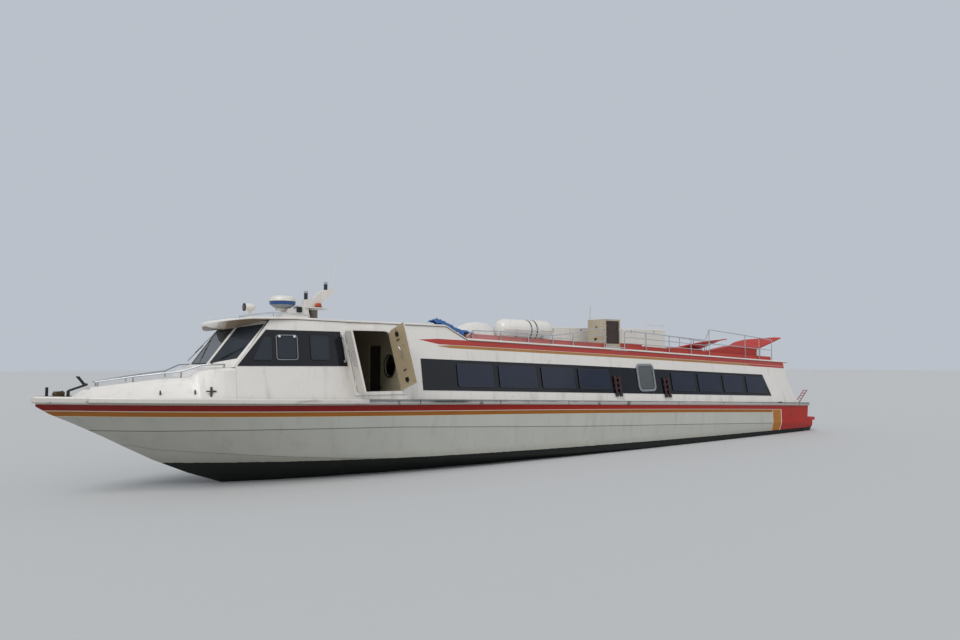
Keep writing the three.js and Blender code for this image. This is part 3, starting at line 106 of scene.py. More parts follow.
class Value:
    """What a node gives out. A sum written on it adds Math nodes to its finish."""

    def __init__(self, finish, socket):
        self.finish = finish
        self.socket = socket

    def math(self, operation, *operands):
        return self.finish.node("ShaderNodeMath", dict(enumerate(operands)), operation=operation)

    def __add__(self, other):
        return self.math("ADD", self, other)

    __radd__ = __add__

    def __sub__(self, other):
        return self.math("SUBTRACT", self, other)

    def __rsub__(self, other):
        return self.math("SUBTRACT", other, self)

    def __mul__(self, other):
        return self.math("MULTIPLY", self, other)

    __rmul__ = __mul__

    def __truediv__(self, other):
        return self.math("DIVIDE", self, other)

    def __abs__(self):
        return self.math("ABSOLUTE", self)

    def most(self, other):
        return self.math("MAXIMUM", self, other)

    def least(self, other):
        return self.math("MINIMUM", self, other)

    def wave(self):
        return self.math("SINE", self)

    def above(self, edge, soft=0.002):
        """1 where the value is over an edge, 0 under it, with a soft step between."""
        return self.finish.node(
            "ShaderNodeMapRange",
            {"Value": self - edge, "From Min": -soft, "From Max": soft},
            interpolation_type="SMOOTHSTEP",
        )

    def below(self, edge, soft=0.002):
        return 1 - self.above(edge, soft)

    def between(self, low, high, soft=0.002):
        return self.above(low, soft) * self.below(high, soft)

    def spread(self, low, high):
        """0 at low, 1 at high, straight between."""
        return self.finish.node("ShaderNodeMapRange", {"Value": self, "From Min": low, "From Max": high})


def tone(code):
    """A colour from its six hexadecimal digits, as the shader wants it."""
    parts = [int(code[i : i + 2], 16) / 255 for i in (0, 2, 4)]
    return (*[p / 12.92 if p <= 0.04045 else ((p + 0.055) / 1.055) ** 2.4 for p in parts], 1)


class Finish:
    """A material, made by joining nodes to one surface shader."""

    def __init__(self, name, roughness=0.5, metallic=0.0, **sockets):
        self.material = bpy.data.materials.new(name)
        self.material.use_nodes = True
        self.nodes = self.material.node_tree.nodes
        self.surface = self.nodes["Principled BSDF"]
        self.set(roughness=roughness, metallic=metallic, **sockets)
        place = self.nodes.new("ShaderNodeTexCoord")
        self.place = Value(self, place.outputs["Object"])
        parts = self.nodes.new("ShaderNodeSeparateXYZ")
        self.material.node_tree.links.new(place.outputs["Object"], parts.inputs[0])
        self.x, self.y, self.z = (Value(self, parts.outputs[i]) for i in range(3))

    def put(self, socket, value):
        if isinstance(value, Value):
            self.material.node_tree.links.new(value.socket, socket)
        else:
            socket.default_value = value

    def node(self, kind, inputs=(), give=0, stops=None, **settings):
        """Adds a node with its settings and inputs, and returns one of its outputs."""
        made = self.nodes.new(kind)
        for key, value in settings.items():
            setattr(made, key, value)
        if stops:
            ramp = made.color_ramp
            while len(ramp.elements) < len(stops):
                ramp.elements.new(0.5)
            for element, (at, colour) in zip(ramp.elements, stops):
                element.position = at
                element.color = colour
        for key, value in dict(inputs).items():
            self.put(made.inputs[key], value)
        return Value(self, made.outputs[give])

    def set(self, **sockets):
        for key, value in sockets.items():
            self.put(self.surface.inputs[key.replace("_", " ").title().replace("Ior", "IOR")], value)

    def noise(self, scale, detail=3.0, at=None, stretch=None):
        """Soft cloudy noise about 0.5, on Object coordinates or on others."""
        place = at or self.place
        if stretch:
            place = self.node("ShaderNodeMapping", {"Vector": place, "Scale": stretch})
        return self.node("ShaderNodeTexNoise", {"Vector": place, "Scale": scale, "Detail": detail})

    def mix(self, share, a, b):
        """Colour a where share is 0, b where it is 1."""
        made = self.nodes.new("ShaderNodeMix")
        made.data_type = "RGBA"
        self.put(made.inputs[0], share)
        self.put(made.inputs[6], a)
        self.put(made.inputs[7], b)
        return Value(self, made.outputs[2])

    def bump(self, height, depth):
        """Lets a height, in metres when depth is 1, show in the light."""
        self.set(normal=self.node("ShaderNodeBump", {"Height": height, "Distance": depth, "Strength": 1.0}))


def sheer(x):
    """Height of the top of the gunwale moulding, of a number or of a Value."""
    return 1.12 + 0.0455 * x - 0.00042 * x * x


def sheer_over(finish):
    """How far a place is over the top of the gunwale moulding at its station."""
    return finish.z - sheer(finish.x)


def line_along(finish, rows):
    """The height of a line drawn along the hull, from rows of (x, height)."""
    stops = [(x / 25, (z / 2, z / 2, z / 2, 1)) for x, z in rows]
    return finish.node("ShaderNodeValToRGB", {"Fac": finish.x / 25}, stops=stops) * 2


def dress(node, finish, body="boat", edge=0.006, sharp=25):
    """A smooth copy of a node, with its corners rounded, which then stands for it."""
    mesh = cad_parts[node].data.copy()
    shape = bmesh.new()
    shape.from_mesh(mesh)
    bmesh.ops.remove_doubles(shape, verts=shape.verts, dist=2e-5)
    bmesh.ops.dissolve_limit(shape, angle_limit=math.radians(0.6), verts=shape.verts, edges=shape.edges)
    shape.to_mesh(mesh)
    shape.free()
    return finished(node + "_dressed", mesh, finish, body, edge, sharp, node)


def finished(name, made, finish, body="boat", edge=0.0, sharp=25, stands_for=None, segments=2):
    """Makes a mesh, or a shape under way, into a smooth piece with rounded corners, which rides on a body."""
    mesh = made
    if isinstance(made, bmesh.types.BMesh):
        bmesh.ops.remove_doubles(made, verts=made.verts, dist=1e-6)
        bmesh.ops.recalc_face_normals(made, faces=made.faces)
        mesh = bpy.data.meshes.new(name)
        made.to_mesh(mesh)
        made.free()
    mesh.name = name
    mesh.materials.clear()
    mesh.materials.append(finish.material)
    mesh.shade_smooth()
    mesh.set_sharp_from_angle(angle=math.radians(sharp))
    piece = bpy.data.objects.new(name, mesh)
    bpy.context.scene.collection.objects.link(piece)
    if edge:
        rounding = piece.modifiers.new("rounding", "BEVEL")
        rounding.width = edge
        rounding.segments = segments
        rounding.limit_method = "ANGLE"
        rounding.angle_limit = math.radians(sharp)
        rounding.harden_normals = True
    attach(piece, body)
    if stands_for:
        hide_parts(stands_for)
    return piece


hull_paint = Finish("hull_paint", roughness=0.42, specular_ior_level=0.3)
over = sheer_over(hull_paint)
hx, hz = hull_paint.x, hull_paint.z
grain = hull_paint.noise(1.3, 4)
streaks = hull_paint.noise(1.0, 5, stretch=(5, 5, 0.4))
white = hull_paint.mix(grain, tone("c6c5bc"), tone("b9b8ae"))
white = hull_paint.mix((streaks - 0.5).spread(0.03, 0.3) * 0.3, white, tone("908c7a"))
tide = hz - (0.15 + 0.0036 * hx + 0.00058 * hx * hx)
white = hull_paint.mix((tide + (streaks - 0.5) * 0.3).below(0.10, 0.10) * 0.3, white, tone("8b8a72"))
# Painted shade: the white greys toward the bow, where the flared topsides face down.
forward_shade = hx.spread(17.0, 23.0) * 0.45
white = hull_paint.mix(forward_shade, white, tone("8d8b80"))
knuckle_rows = [(0.0, 0.35), (3, 0.48), (6, 0.61), (9, 0.735), (12, 0.86), (15, 1.01), (16.5, 1.085)]
knuckle_rows += [(17.8, 1.15), (19.2, 1.19), (20.3, 1.215), (21.3, 1.235), (22.1, 1.25), (22.8, 1.26)]
knuckle_rows += [(23.8, 1.29)]
knuckle = hz - line_along(hull_paint, knuckle_rows)
chine_rows = [(17.8, 0.395), (19.2, 0.495), (20.3, 0.59), (21.3, 0.69), (22.1, 0.775), (22.8, 0.84)]
chine_rows += [(23.3, 0.96)]
chine = hz - line_along(hull_paint, chine_rows)
# Painted shade: thin dark lines along the knuckle and, forward, along the chine.
crease_shade = knuckle.between(-0.015, 0.003, 0.004) * 0.75
crease_shade = crease_shade + chine.between(-0.01, 0.002, 0.004) * hx.above(17.8, 0.3) * 0.5
white = hull_paint.mix(crease_shade, white, tone("3f3f3a"))
fade = hull_paint.noise(2.2, 4, stretch=(1, 1, 4))
stripe_gold = hull_paint.mix(fade, tone("a8671f"), tone("8f5518"))
stripe_red = hull_paint.mix(fade, tone("8c1206"), tone("700d04"))
stripe_red = hull_paint.mix(hx.below(15.5, 5.0) * 0.75, stripe_red, tone("b81c08"))
bright_gold = hull_paint.mix(fade, tone("c07a1e"), tone("a86616"))
bright_red = hull_paint.mix(fade, tone("bd1b05"), tone("a01504"))
slant = hx - (over + 0.38) * 0.16
colour = hull_paint.mix(over.between(-0.385, -0.285, 0.0015), white, stripe_gold)
colour = hull_paint.mix(over.between(-0.392, -0.385, 0.001), colour, tone("d8cda8"))
colour = hull_paint.mix(over.between(-0.285, -0.272, 0.0015), colour, tone("d9d0c4"))
widening = 0.13 + hx.spread(17.0, 24.5) * 0.02
colour = hull_paint.mix(over.above(-0.272, 0.0015) * (over + widening).below(0.0, 0.0015), colour, stripe_red)
under_stripe = over.below(-0.285, 0.0015)
colour = hull_paint.mix(slant.between(1.70, 2.30, 0.003) * under_stripe, colour, tone("dcd4c8"))
colour = hull_paint.mix(slant.between(1.745, 2.275, 0.003) * under_stripe, colour, bright_gold)
colour = hull_paint.mix(slant.below(1.70, 0.003) * over.below(-0.13, 0.0015), colour, bright_red)
growth = hull_paint.noise(9, 5)
bottom = hull_paint.mix(growth, tone("0d0f12"), tone("1d1e1a"))
dry = tide.above((growth - 0.5) * 0.03, 0.003)
colour = hull_paint.mix(dry, bottom, colour)
studs = hull_paint.node("ShaderNodeTexVoronoi", {"Vector": hull_paint.place, "Scale": 90.0}, give="Distance")
deck = over.above(-0.034, 0.002) * abs(hull_paint.y).below(1.86)
deck_grey = hull_paint.mix(hull_paint.noise(3, 4), tone("8e8d88"), tone("797872"))
colour = hull_paint.mix(deck, colour, deck_grey)
well_side = (1.56 - (hx - 17.5) * 0.213).least(1.62) + 0.01
inside = abs(hull_paint.y).below(well_side, 0.001) * hz.above(0.69, 0.001) * hx.below(20.6, 0.01)
lining = hull_paint.mix(hull_paint.noise(2, 3), tone("b9ab8f"), tone("a59778"))
colour = hull_paint.mix(inside, colour, hull_paint.mix(hx.below(0.95), lining, deck_grey))
hull_paint.set(base_color=colour, roughness=0.62 - dry * 0.27 + deck * 0.35 + (grain - 0.5) * 0.15)
hull_paint.bump(hull_paint.noise(0.9, 2) * 0.5 + hull_paint.noise(40, 2) * 0.03 + studs * deck * 0.15, 0.01)
dress("hull", hull_paint, edge=0.008, sharp=12)


# Gunwale mouldings: a white moulding round the bow with a larger cap over the stem, and aft of the
# entrance a grey fender with a darker top, rubbed pale and torn along its lower half.


def weathered_white(name, dark=0.0):
    """White gel coat that has chalked, with soft clouds, faint drips and a few specks."""
    finish = Finish(name, roughness=0.32, coat_weight=0.15, coat_roughness=0.2)
    cloud = finish.noise(0.7, 4)
    drip = finish.noise(1.0, 5, stretch=(7, 7, 0.5))
    speck = finish.noise(14, 3)
    tint = finish.mix(cloud, tone("e4dfd8"), tone("d6d0c7"))
    tint = finish.mix((drip - 0.5).spread(0.05, 0.3) * 0.35, tint, tone("a9a392"))
    tint = finish.mix((speck - 0.5).spread(0.16, 0.24) * 0.25, tint, tone("857e6b"))
    if dark:
        tint = finish.mix(dark, tint, tone("8f887c"))
    finish.set(base_color=tint, roughness=0.34 + (cloud - 0.5) * 0.3)
    finish.bump(finish.noise(3, 2) * 0.5 + finish.noise(60, 2) * 0.03, 0.004)
    return finish, tint


gel_coat = weathered_white("gel_coat")[0]
moulding_coat, moulding_tint = weathered_white("moulding_coat", 0.22)
level = sheer_over(moulding_coat)
scrape = moulding_coat.noise(1.6, 6, stretch=(1, 1, 6))
moulding_tint = moulding_coat.mix((scrape - 0.5).spread(0.1, 0.2) * 0.5, moulding_tint, tone("6f6a63"))
# Painted shade: the lower edge of the moulding, where it turns under, is darkened.
moulding_tint = moulding_coat.mix(level.below(-0.098, 0.004) * 0.6, moulding_tint, tone("57544f"))
moulding_coat.set(base_color=moulding_tint)
moulding = dress("bow_moulding", moulding_coat, edge=0.012)

cap = bmesh.new()
cap.from_mesh(moulding.data)
whole_cap = cap.verts[:] + cap.edges[:] + cap.faces[:]
bmesh.ops.bisect_plane(cap, geom=whole_cap, plane_co=(24.12, 0, 0), plane_no=(-1, 0, 0), clear_outer=True)
bmesh.ops.holes_fill(cap, edges=[edge for edge in cap.edges if edge.is_boundary])
bmesh.ops.recalc_face_normals(cap, faces=cap.faces)
for vert in cap.verts:
    vert.co += vert.normal * 0.009
cap_coat, cap_tint = weathered_white("cap_coat", 0.3)
dings = cap_coat.noise(5.0, 6)
cap_tint = cap_coat.mix((dings - 0.5).spread(0.1, 0.16) * 0.6, cap_tint, tone("5d584f"))
cap_coat.set(base_color=cap_tint)
finished("stem_cap", cap, cap_coat, edge=0.01)

fender_rubber = Finish("fender_rubber", roughness=0.8)
level = sheer_over(fender_rubber)
scuff = fender_rubber.noise(2.0, 6, stretch=(1, 1, 5))
rubbed = (level + (scuff - 0.5) * 0.08).below(-0.055, 0.012)
tint = fender_rubber.mix(fender_rubber.noise(6, 4), tone("6b6b6e"), tone("7f7e7c"))
tint = fender_rubber.mix(rubbed, tint, fender_rubber.mix(scuff, tone("a8a39d"), tone("bdb8b1")))
torn = (fender_rubber.noise(3.1, 6) - 0.5).spread(0.15, 0.19)
tint = fender_rubber.mix(torn * 0.7, tint, tone("4a4645"))
joints = (fender_rubber.x * (2 * math.pi / 2.4)).wave().above(0.9995, 0.0004)
tint = fender_rubber.mix(joints * 0.8, tint, tone("2c2a29"))
patch = fender_rubber.x.between(16.0, 17.1, 0.25) * level.between(-0.085, -0.02, 0.02)
tint = fender_rubber.mix(patch * 0.8, tint, tone("2a2826"))
fender_rubber.set(base_color=tint)
fender_rubber.bump(scuff * 0.6 + torn * -0.5 + joints * -0.6, 0.01)
for side in ("port", "starboard"):
    dress("side_fender_" + side, fender_rubber, edge=0.012)


# The cabin sides: one moulded sheet each, leaning inward by ten degrees, white outside with a red and a
# gold stripe under the roof, and a cream lining inside.

side_coat, side_tint = weathered_white("side_coat")
over = sheer_over(side_coat)
sx = side_coat.x
fade = side_coat.noise(2.2, 4, stretch=(1, 1, 4))
taper = (sx - 16.66).most(0.0)
red_share = (over - (1.3385 + taper * 0.158)).above(0, 0.0015)
red_share = red_share * (over - (1.475 - taper * 0.078)).below(0, 0.0015)
taper = (sx - 16.3).most(0.0)
gold_share = (over - (1.256 + taper * 0.089)).above(0, 0.0015)
gold_share = gold_share * (over - (1.331 - taper * 0.078)).below(0, 0.0015)
along = sx.between(1.0, 17.24, 0.01)
side_gold = side_coat.mix(fade, tone("ad7a35"), tone("946328"))
side_red = side_coat.mix(fade, tone("b62a14"), tone("9a2010"))
side_gold = side_coat.mix(sx.below(3.3, 0.2), side_gold, side_red)
side_tint = side_coat.mix(gold_share * along * sx.below(16.76), side_tint, side_gold)
side_tint = side_coat.mix(red_share * along, side_tint, side_red)
runs = side_coat.noise(1.0, 4, stretch=(4, 4, 0.35))
streaks = (runs - 0.5).spread(0.04, 0.25) * over.below(0.25, 0.25) * 0.5
side_tint = side_coat.mix(streaks, side_tint, tone("8f8a7c"))
wall_line = 1.85 - (side_coat.z - sheer(sx)) * math.tan(math.radians(10))
narrowing = (sx - 16.5).most(0.0)
wall_line = wall_line - narrowing * narrowing * 0.05 - narrowing * 0.012
lined = (abs(side_coat.y) - wall_line).below(-0.03, 0.002)
lining_tint = side_coat.mix(side_coat.noise(1.5, 3), tone("b7a98c"), tone("a3957a"))
side_coat.set(base_color=side_coat.mix(lined, side_tint, lining_tint))
for side in ("port", "starboard"):
    dress("cabin_side_" + side, side_coat, edge=0.006)


# Passenger windows: a long band of dark tinted glass bonded to each side, with eight panes a shade
# lighter, each in a thin dark bead.

stations = (0, 3, 6, 9, 12, 15, 16.5, 17.4, 18.4, 19.2, 20, 20.6, 21.2, 21.9)


def skin(x):
    """Half breadth of the hull's side at the gunwale."""
    share = max(0.0, (x - 16.5) / 8.44)
    return 1.92 * (1 - share**2.4) ** 0.85


def wall(x, z, lift=0.0):
    """A place on the outside of the port cabin side, straight between its stations, or off it by a lift."""
    after = max(s for s in stations if s <= x)
    ahead = min(s for s in stations if s > x)
    lean = math.tan(math.radians(10))
    y = 0
    for station, share in ((after, (ahead - x) / (ahead - after)), (ahead, (x - after) / (ahead - after))):
        y += share * (skin(station) - 0.07 - lean * (z - sheer(station)))
    return Vector((x, y + lift, z + lift * lean))


def plate(shape, corners, thick, radius=0.0, ring=0.0, rounds=4):
    """Adds a flat plate behind an outline of corners, with rounded corners, or only a ring round its rim."""
    before = set(shape.faces)
    verts = [shape.verts.new(corner) for corner in corners]
    face = shape.faces.new(verts)
    face.normal_update()
    out = face.normal.copy()
    if radius:
        corner = {"offset": radius, "segments": rounds, "affect": "VERTICES", "profile": 0.5, "material": -1}
        bmesh.ops.bevel(shape, geom=verts, **corner)
        face = max((made for made in shape.faces if made not in before), key=lambda made: made.calc_area())
    if ring:
        inset = {"thickness": ring, "use_boundary": True, "use_even_offset": True}
        sheet = bmesh.ops.inset_region(shape, faces=[face], **inset)["faces"]
        bmesh.ops.delete(shape, geom=[face], context="FACES_ONLY")
    else:
        sheet = [face]
    grown = bmesh.ops.extrude_face_region(shape, geom=sheet)
    moved = [item for item in grown["geom"] if isinstance(item, bmesh.types.BMVert)]
    bmesh.ops.translate(shape, verts=moved, vec=-out * thick)


def both_sides(shape):
    """Adds the starboard half of a shape that was made to port."""
    bmesh.ops.mirror(shape, geom=shape.verts[:] + shape.edges[:] + shape.faces[:], axis="Y", merge_dist=-1)


def tinted(name, pane, sheen):
    """Dark glass with a faint cloud of dust on it, and a painted sheen that lightens it toward the top."""
    finish = Finish(name, roughness=0.06, specular_ior_level=0.3)
    dust = finish.noise(2.2, 4)
    painted_sheen_share = sheer_over(finish).spread(0.2, 1.0)
    tint = finish.mix(dust, tone(pane), tone(sheen))
    # Painted reflection: the glass is lightened toward the top, as if it mirrored the sky.
    tint = finish.mix(painted_sheen_share * 0.5, tint, tone(sheen))
    finish.set(base_color=tint, roughness=0.05 + dust * 0.08)
    finish.bump(finish.noise(1.1, 1), 0.002)
    return finish


band_glass = tinted("band_glass", "090c12", "10151d")
for side in ("port", "starboard"):
    dress("window_band_" + side, band_glass, edge=0.002)
pane_spans = [
    (15.09, 16.20),
    (13.60, 14.88),
    (12.19, 13.40),
    (10.75, 12.00),
    (6.695, 7.86),
    (5.29, 6.48),
    (3.93, 5.10),
    (2.56, 3.72),
]
window_panes = bmesh.new()
window_beads = bmesh.new()
for after, ahead in pane_spans:
    rim = [(ahead, 0.30), (ahead, 0.87), (after, 0.87), (after, 0.30)]
    # the outline runs so that its face looks to port
    outline = [wall(x, sheer(x) + rise_over, 0.026) for x, rise_over in reversed(rim)]
    plate(window_panes, outline, 0.004, radius=0.05)
    outline = [wall(x, sheer(x) + rise_over, 0.028) for x, rise_over in reversed(rim)]
    plate(window_beads, outline, 0.004, radius=0.05, ring=0.012)
both_sides(window_panes)
both_sides(window_beads)
pane_glass = tinted("pane_glass", "141a28", "1f283b")
finished("passenger_panes", window_panes, pane_glass)
bead_grey = Finish("bead_grey", roughness=0.45)
bead_grey.set(base_color=bead_grey.mix(bead_grey.noise(8, 3), tone("34383e"), tone("1f2226")))
bead_grey.bump(bead_grey.noise(80, 2), 0.001)
finished("passenger_beads", window_beads, bead_grey)


# Emergency windows: a grey rubber frame with rounded corners round a grey pane, one on each side, about
# midway along the window band.

emergency_rubber = Finish("emergency_rubber", roughness=0.65)
wear = emergency_rubber.noise(7, 4)
rubber_tint = emergency_rubber.mix(wear, tone("8e9398"), tone("6c7176"))
emergency_rubber.set(base_color=rubber_tint, roughness=0.6 + wear * 0.2)
emergency_rubber.bump(wear, 0.004)
for side in ("port", "starboard"):
    dress("emergency_window_" + side, emergency_rubber, edge=0.006)
emergency_glass = bmesh.new()
rim = [(8.76, 1.84), (8.76, 2.53), (9.39, 2.53), (9.39, 1.84)]
plate(emergency_glass, [wall(x, z, 0.012) for x, z in rim], 0.006, radius=0.06)
both_sides(emergency_glass)
escape_glass = tinted("escape_glass", "454a4b", "5c6160")
finished("emergency_panes", emergency_glass, escape_glass)


# Fender boards: two short maroon boards on each cabin side, each of two uprights and four bars, on
# black feet.


def box(shape, low, high):
    """Adds a plain box between two corners, which a later bevel rounds."""
    made = bmesh.ops.create_cube(shape, size=1.0)["verts"]
    low, high = Vector(low), Vector(high)
    bmesh.ops.scale(shape, verts=made, vec=high - low)
    bmesh.ops.translate(shape, verts=made, vec=(low + high) / 2)


board_paint = Finish("board_paint", roughness=0.7)
chips = board_paint.noise(16, 5)
board_tint = board_paint.mix(chips, tone("3d1718"), tone("2a1213"))
board_tint = board_paint.mix((chips - 0.5).spread(0.12, 0.2), board_tint, tone("1b1514"))
board_paint.set(base_color=board_tint)
board_paint.bump(chips, 0.004)
boards = bmesh.new()
board_feet = bmesh.new()
for after, ahead, low, high in ((10.24, 10.62, 1.66, 2.25), (7.97, 8.36, 1.56, 2.17)):
    for x in (after + 0.06, ahead - 0.14):
        rails = [(x, low), (x + 0.08, low), (x + 0.08, high), (x, high)]
        plate(boards, [wall(px, pz, 0.055) for px, pz in reversed(rails)], 0.022, radius=0.008, rounds=2)
        inner, outer = x - 0.01, x + 0.09
        foot = [(inner, low - 0.02), (outer, low - 0.02), (outer, low + 0.06), (inner, low + 0.06)]
        plate(board_feet, [wall(px, pz, 0.062) for px, pz in reversed(foot)], 0.038, radius=0.01, rounds=2)
    for share in (0.12, 0.38, 0.64, 0.9):
        z = low + (high - low) * share
        ends = (after + 0.04, ahead - 0.04)
        bar_rim = [(ends[0], z - 0.03), (ends[1], z - 0.03), (ends[1], z + 0.03), (ends[0], z + 0.03)]
        plate(boards, [wall(px, pz, 0.036) for px, pz in reversed(bar_rim)], 0.018, radius=0.006, rounds=2)
both_sides(boards)
both_sides(board_feet)
finished("fender_boards", boards, board_paint, edge=0.002)
black_rubber = Finish("black_rubber", roughness=0.75)
rub = black_rubber.noise(20, 3)
black_rubber.set(base_color=black_rubber.mix(rub, tone("17181a"), tone("2a2b2d")), roughness=0.65 + rub * 0.2)
black_rubber.bump(rub, 0.0015)
finished("fender_board_feet", board_feet, black_rubber, edge=0.004)


# Wheelhouse side windows: one dark bonded sheet on each side, with a narrow raked pane forward, a
# sliding pane in a grey frame with two white knobs, and a fixed pane aft. A chrome grab bar stands
# just forward of the door.

sheet_glass = tinted("sheet_glass", "0a0c0f", "101318")
for side in ("port", "starboard"):
    dress("wheelhouse_window_" + side, sheet_glass, edge=0.002)


def tube(shape, path, radius, sides=12):
    """Adds a round bar along a path of places, closed at both ends."""
    path = [Vector(at) for at in path]
    rings = []
    for i, at in enumerate(path):
        before, after = path[max(i - 1, 0)], path[min(i + 1, len(path) - 1)]
        turn = (after - before).to_track_quat("Z", "Y").to_matrix().to_4x4()
        stand = Matrix.Translation(at) @ turn
        made = bmesh.ops.create_circle(shape, segments=sides, radius=radius, matrix=stand)
        rings.append(made["verts"])
    for low, high in zip(rings, rings[1:]):
        edges = {edge for vert in low + high for edge in vert.link_edges if len(edge.link_faces) < 2}
        near = [e for e in edges if set(e.verts) <= set(low) or set(e.verts) <= set(high)]
        bmesh.ops.bridge_loops(shape, edges=near)
    for ring in (rings[0], rings[-1]):
        bmesh.ops.contextual_create(shape, geom=ring)


def ball(shape, at, radius, segments=16):
    """Adds a ball at a place."""
    bmesh.ops.create_uvsphere(
        shape,
        u_segments=segments,
        v_segments=segments // 2,
        radius=radius,
        matrix=Matrix.Translation(Vector(at)),
    )


wheelhouse_panes = bmesh.new()
wheelhouse_beads = bmesh.new()
slider_frames = bmesh.new()
slider_knobs = bmesh.new()
for rim, radius in (
    ([(21.18, 2.70), (20.94, 3.20), (20.78, 3.20), (20.78, 2.70)], 0.03),
    ([(20.66, 2.73), (20.66, 3.22), (20.26, 3.22), (20.26, 2.73)], 0.05),
    ([(19.96, 2.70), (19.96, 3.25), (19.53, 3.25), (19.53, 2.70)], 0.06),
):
    plate(wheelhouse_panes, [wall(x, z, 0.030) for x, z in reversed(rim)], 0.004, radius=radius)
    plate(wheelhouse_beads, [wall(x, z, 0.032) for x, z in reversed(rim)], 0.005, radius=radius, ring=0.011)
frame_rim = [(20.69, 2.70), (20.69, 3.25), (20.23, 3.25), (20.23, 2.70)]
plate(slider_frames, [wall(x, z, 0.034) for x, z in reversed(frame_rim)], 0.008, radius=0.06, ring=0.018)
for x in (20.62, 20.30):
    knob = wall(x, 3.21, 0.036)
    tube(slider_knobs, [knob, knob + Vector((0, 0.022, 0.004))], 0.028, 16)
for shape in (wheelhouse_panes, wheelhouse_beads, slider_frames, slider_knobs):
    both_sides(shape)
side_pane_glass = tinted("side_pane_glass", "14181f", "262c36")
finished("wheelhouse_panes", wheelhouse_panes, side_pane_glass)
finished("wheelhouse_beads", wheelhouse_beads, black_rubber)
slider_grey = Finish("slider_grey", roughness=0.4, metallic=0.3)
slider_grey.set(base_color=slider_grey.mix(slider_grey.noise(9, 3), tone("8d9297"), tone("6f7479")))
slider_grey.bump(slider_grey.noise(70, 2), 0.0008)
finished("slider_frames", slider_frames, slider_grey, edge=0.002)
knob_white = Finish("knob_white", roughness=0.35)
knob_white.set(base_color=knob_white.mix(knob_white.noise(30, 2), tone("e9e8e2"), tone("d2d0c6")))
knob_white.bump(knob_white.noise(60, 2), 0.0005)
finished("slider_knobs", slider_knobs, knob_white, edge=0.004)


def metal(name, bright, dull, roughness, metallic=1.0):
    """Bare metal, with fine streaks and cloudy dull places."""
    finish = Finish(name, roughness=roughness, metallic=metallic)
    cloud = finish.noise(6, 4)
    scratch = finish.noise(60, 3, stretch=(1, 1, 0.1))
    sheen = roughness - 0.05 + scratch * 0.15
    finish.set(base_color=finish.mix(cloud, tone(bright), tone(dull)), roughness=sheen)
    finish.bump(scratch, 0.0004)
    return finish


chrome = metal("chrome", "d5d8da", "aeb2b5", 0.18)
grab_bars = bmesh.new()
foot, head = wall(19.19, 2.67, 0.02), wall(19.23, 3.24, 0.02)
off = Vector((0, 0.055, 0.01))
tube(grab_bars, [foot, foot + off * 0.7, foot + off + (head - foot) * 0.04, head + off - (head - foot) * 0.04,
                 head + off * 0.7, head], 0.013)
for at in (foot, head):
    tube(grab_bars, [at - off * 0.1, at + off * 0.15], 0.03, 16)
both_sides(grab_bars)
finished("wheelhouse_grab_bars", grab_bars, chrome)


# The windscreen: three raked panes of lightly tinted glass in a white moulded frame, each in a black
# gasket, with a wiper parked along the foot of each outer pane.

frame_coat = weathered_white("frame_coat", 0.05)[0]
dress("windscreen_frame", frame_coat, edge=0.006)


def broad_face(node, towards):
    """The corners of a node's largest flat face that looks a given way, and the way it looks exactly."""
    shape = bmesh.new()
    shape.from_mesh(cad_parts[node].data)
    bmesh.ops.remove_doubles(shape, verts=shape.verts, dist=2e-5)
    bmesh.ops.dissolve_limit(shape, angle_limit=math.radians(4), verts=shape.verts, edges=shape.edges)
    towards = Vector(towards).normalized()
    face = max((f for f in shape.faces if f.normal.dot(towards) > 0.5), key=lambda f: f.calc_area())
    corners = [vert.co.copy() for vert in face.verts]
    out = face.normal.copy()
    shape.free()
    return corners, out


screen_glass = Finish("screen_glass", roughness=0.04, transmission_weight=0.55, ior=1.3)
film = screen_glass.noise(1.6, 4)
screen_tint = screen_glass.mix(film, tone("3c424a"), tone("565c63"))
screen_glass.set(base_color=screen_tint, roughness=0.04 + film * 0.05)
screen_glass.bump(screen_glass.noise(1.0, 1), 0.001)
gaskets = bmesh.new()
for name in ("port", "centre", "starboard"):
    node = "windscreen_" + name
    dress(node, screen_glass, edge=0.002)
    corners, out = broad_face(node, (1, 0, 0.5))
    plate(gaskets, [corner + out * 0.004 for corner in corners], 0.006, radius=0.05, ring=0.035)
finished("windscreen_gaskets", gaskets, black_rubber, edge=0.001)
wipers = bmesh.new()
for name in ("port", "starboard"):
    corners, out = broad_face("windscreen_" + name, (1, 0, 0.5))
    low = sorted(corners, key=lambda c: c.z)[:2]
    low.sort(key=lambda c: abs(c.y))
    inner, outer = low
    up = out.cross(inner - outer).normalized()
    if up.z < 0:
        up = -up
    pivot = inner.lerp(outer, 0.12) + out * 0.03 + up * -0.02
    tip = inner.lerp(outer, 0.78) + out * 0.028 + up * 0.16
    tube(wipers, [pivot - out * 0.03, pivot + out * 0.012], 0.016, 14)
    tube(wipers, [pivot, pivot.lerp(tip, 0.5) + out * 0.006, tip], 0.006, 8)
    blade = (tip - pivot).normalized() * 0.26
    tube(wipers, [tip - blade - out * 0.014, tip + blade - out * 0.014], 0.007, 8)
finished("wipers", wipers, black_rubber)
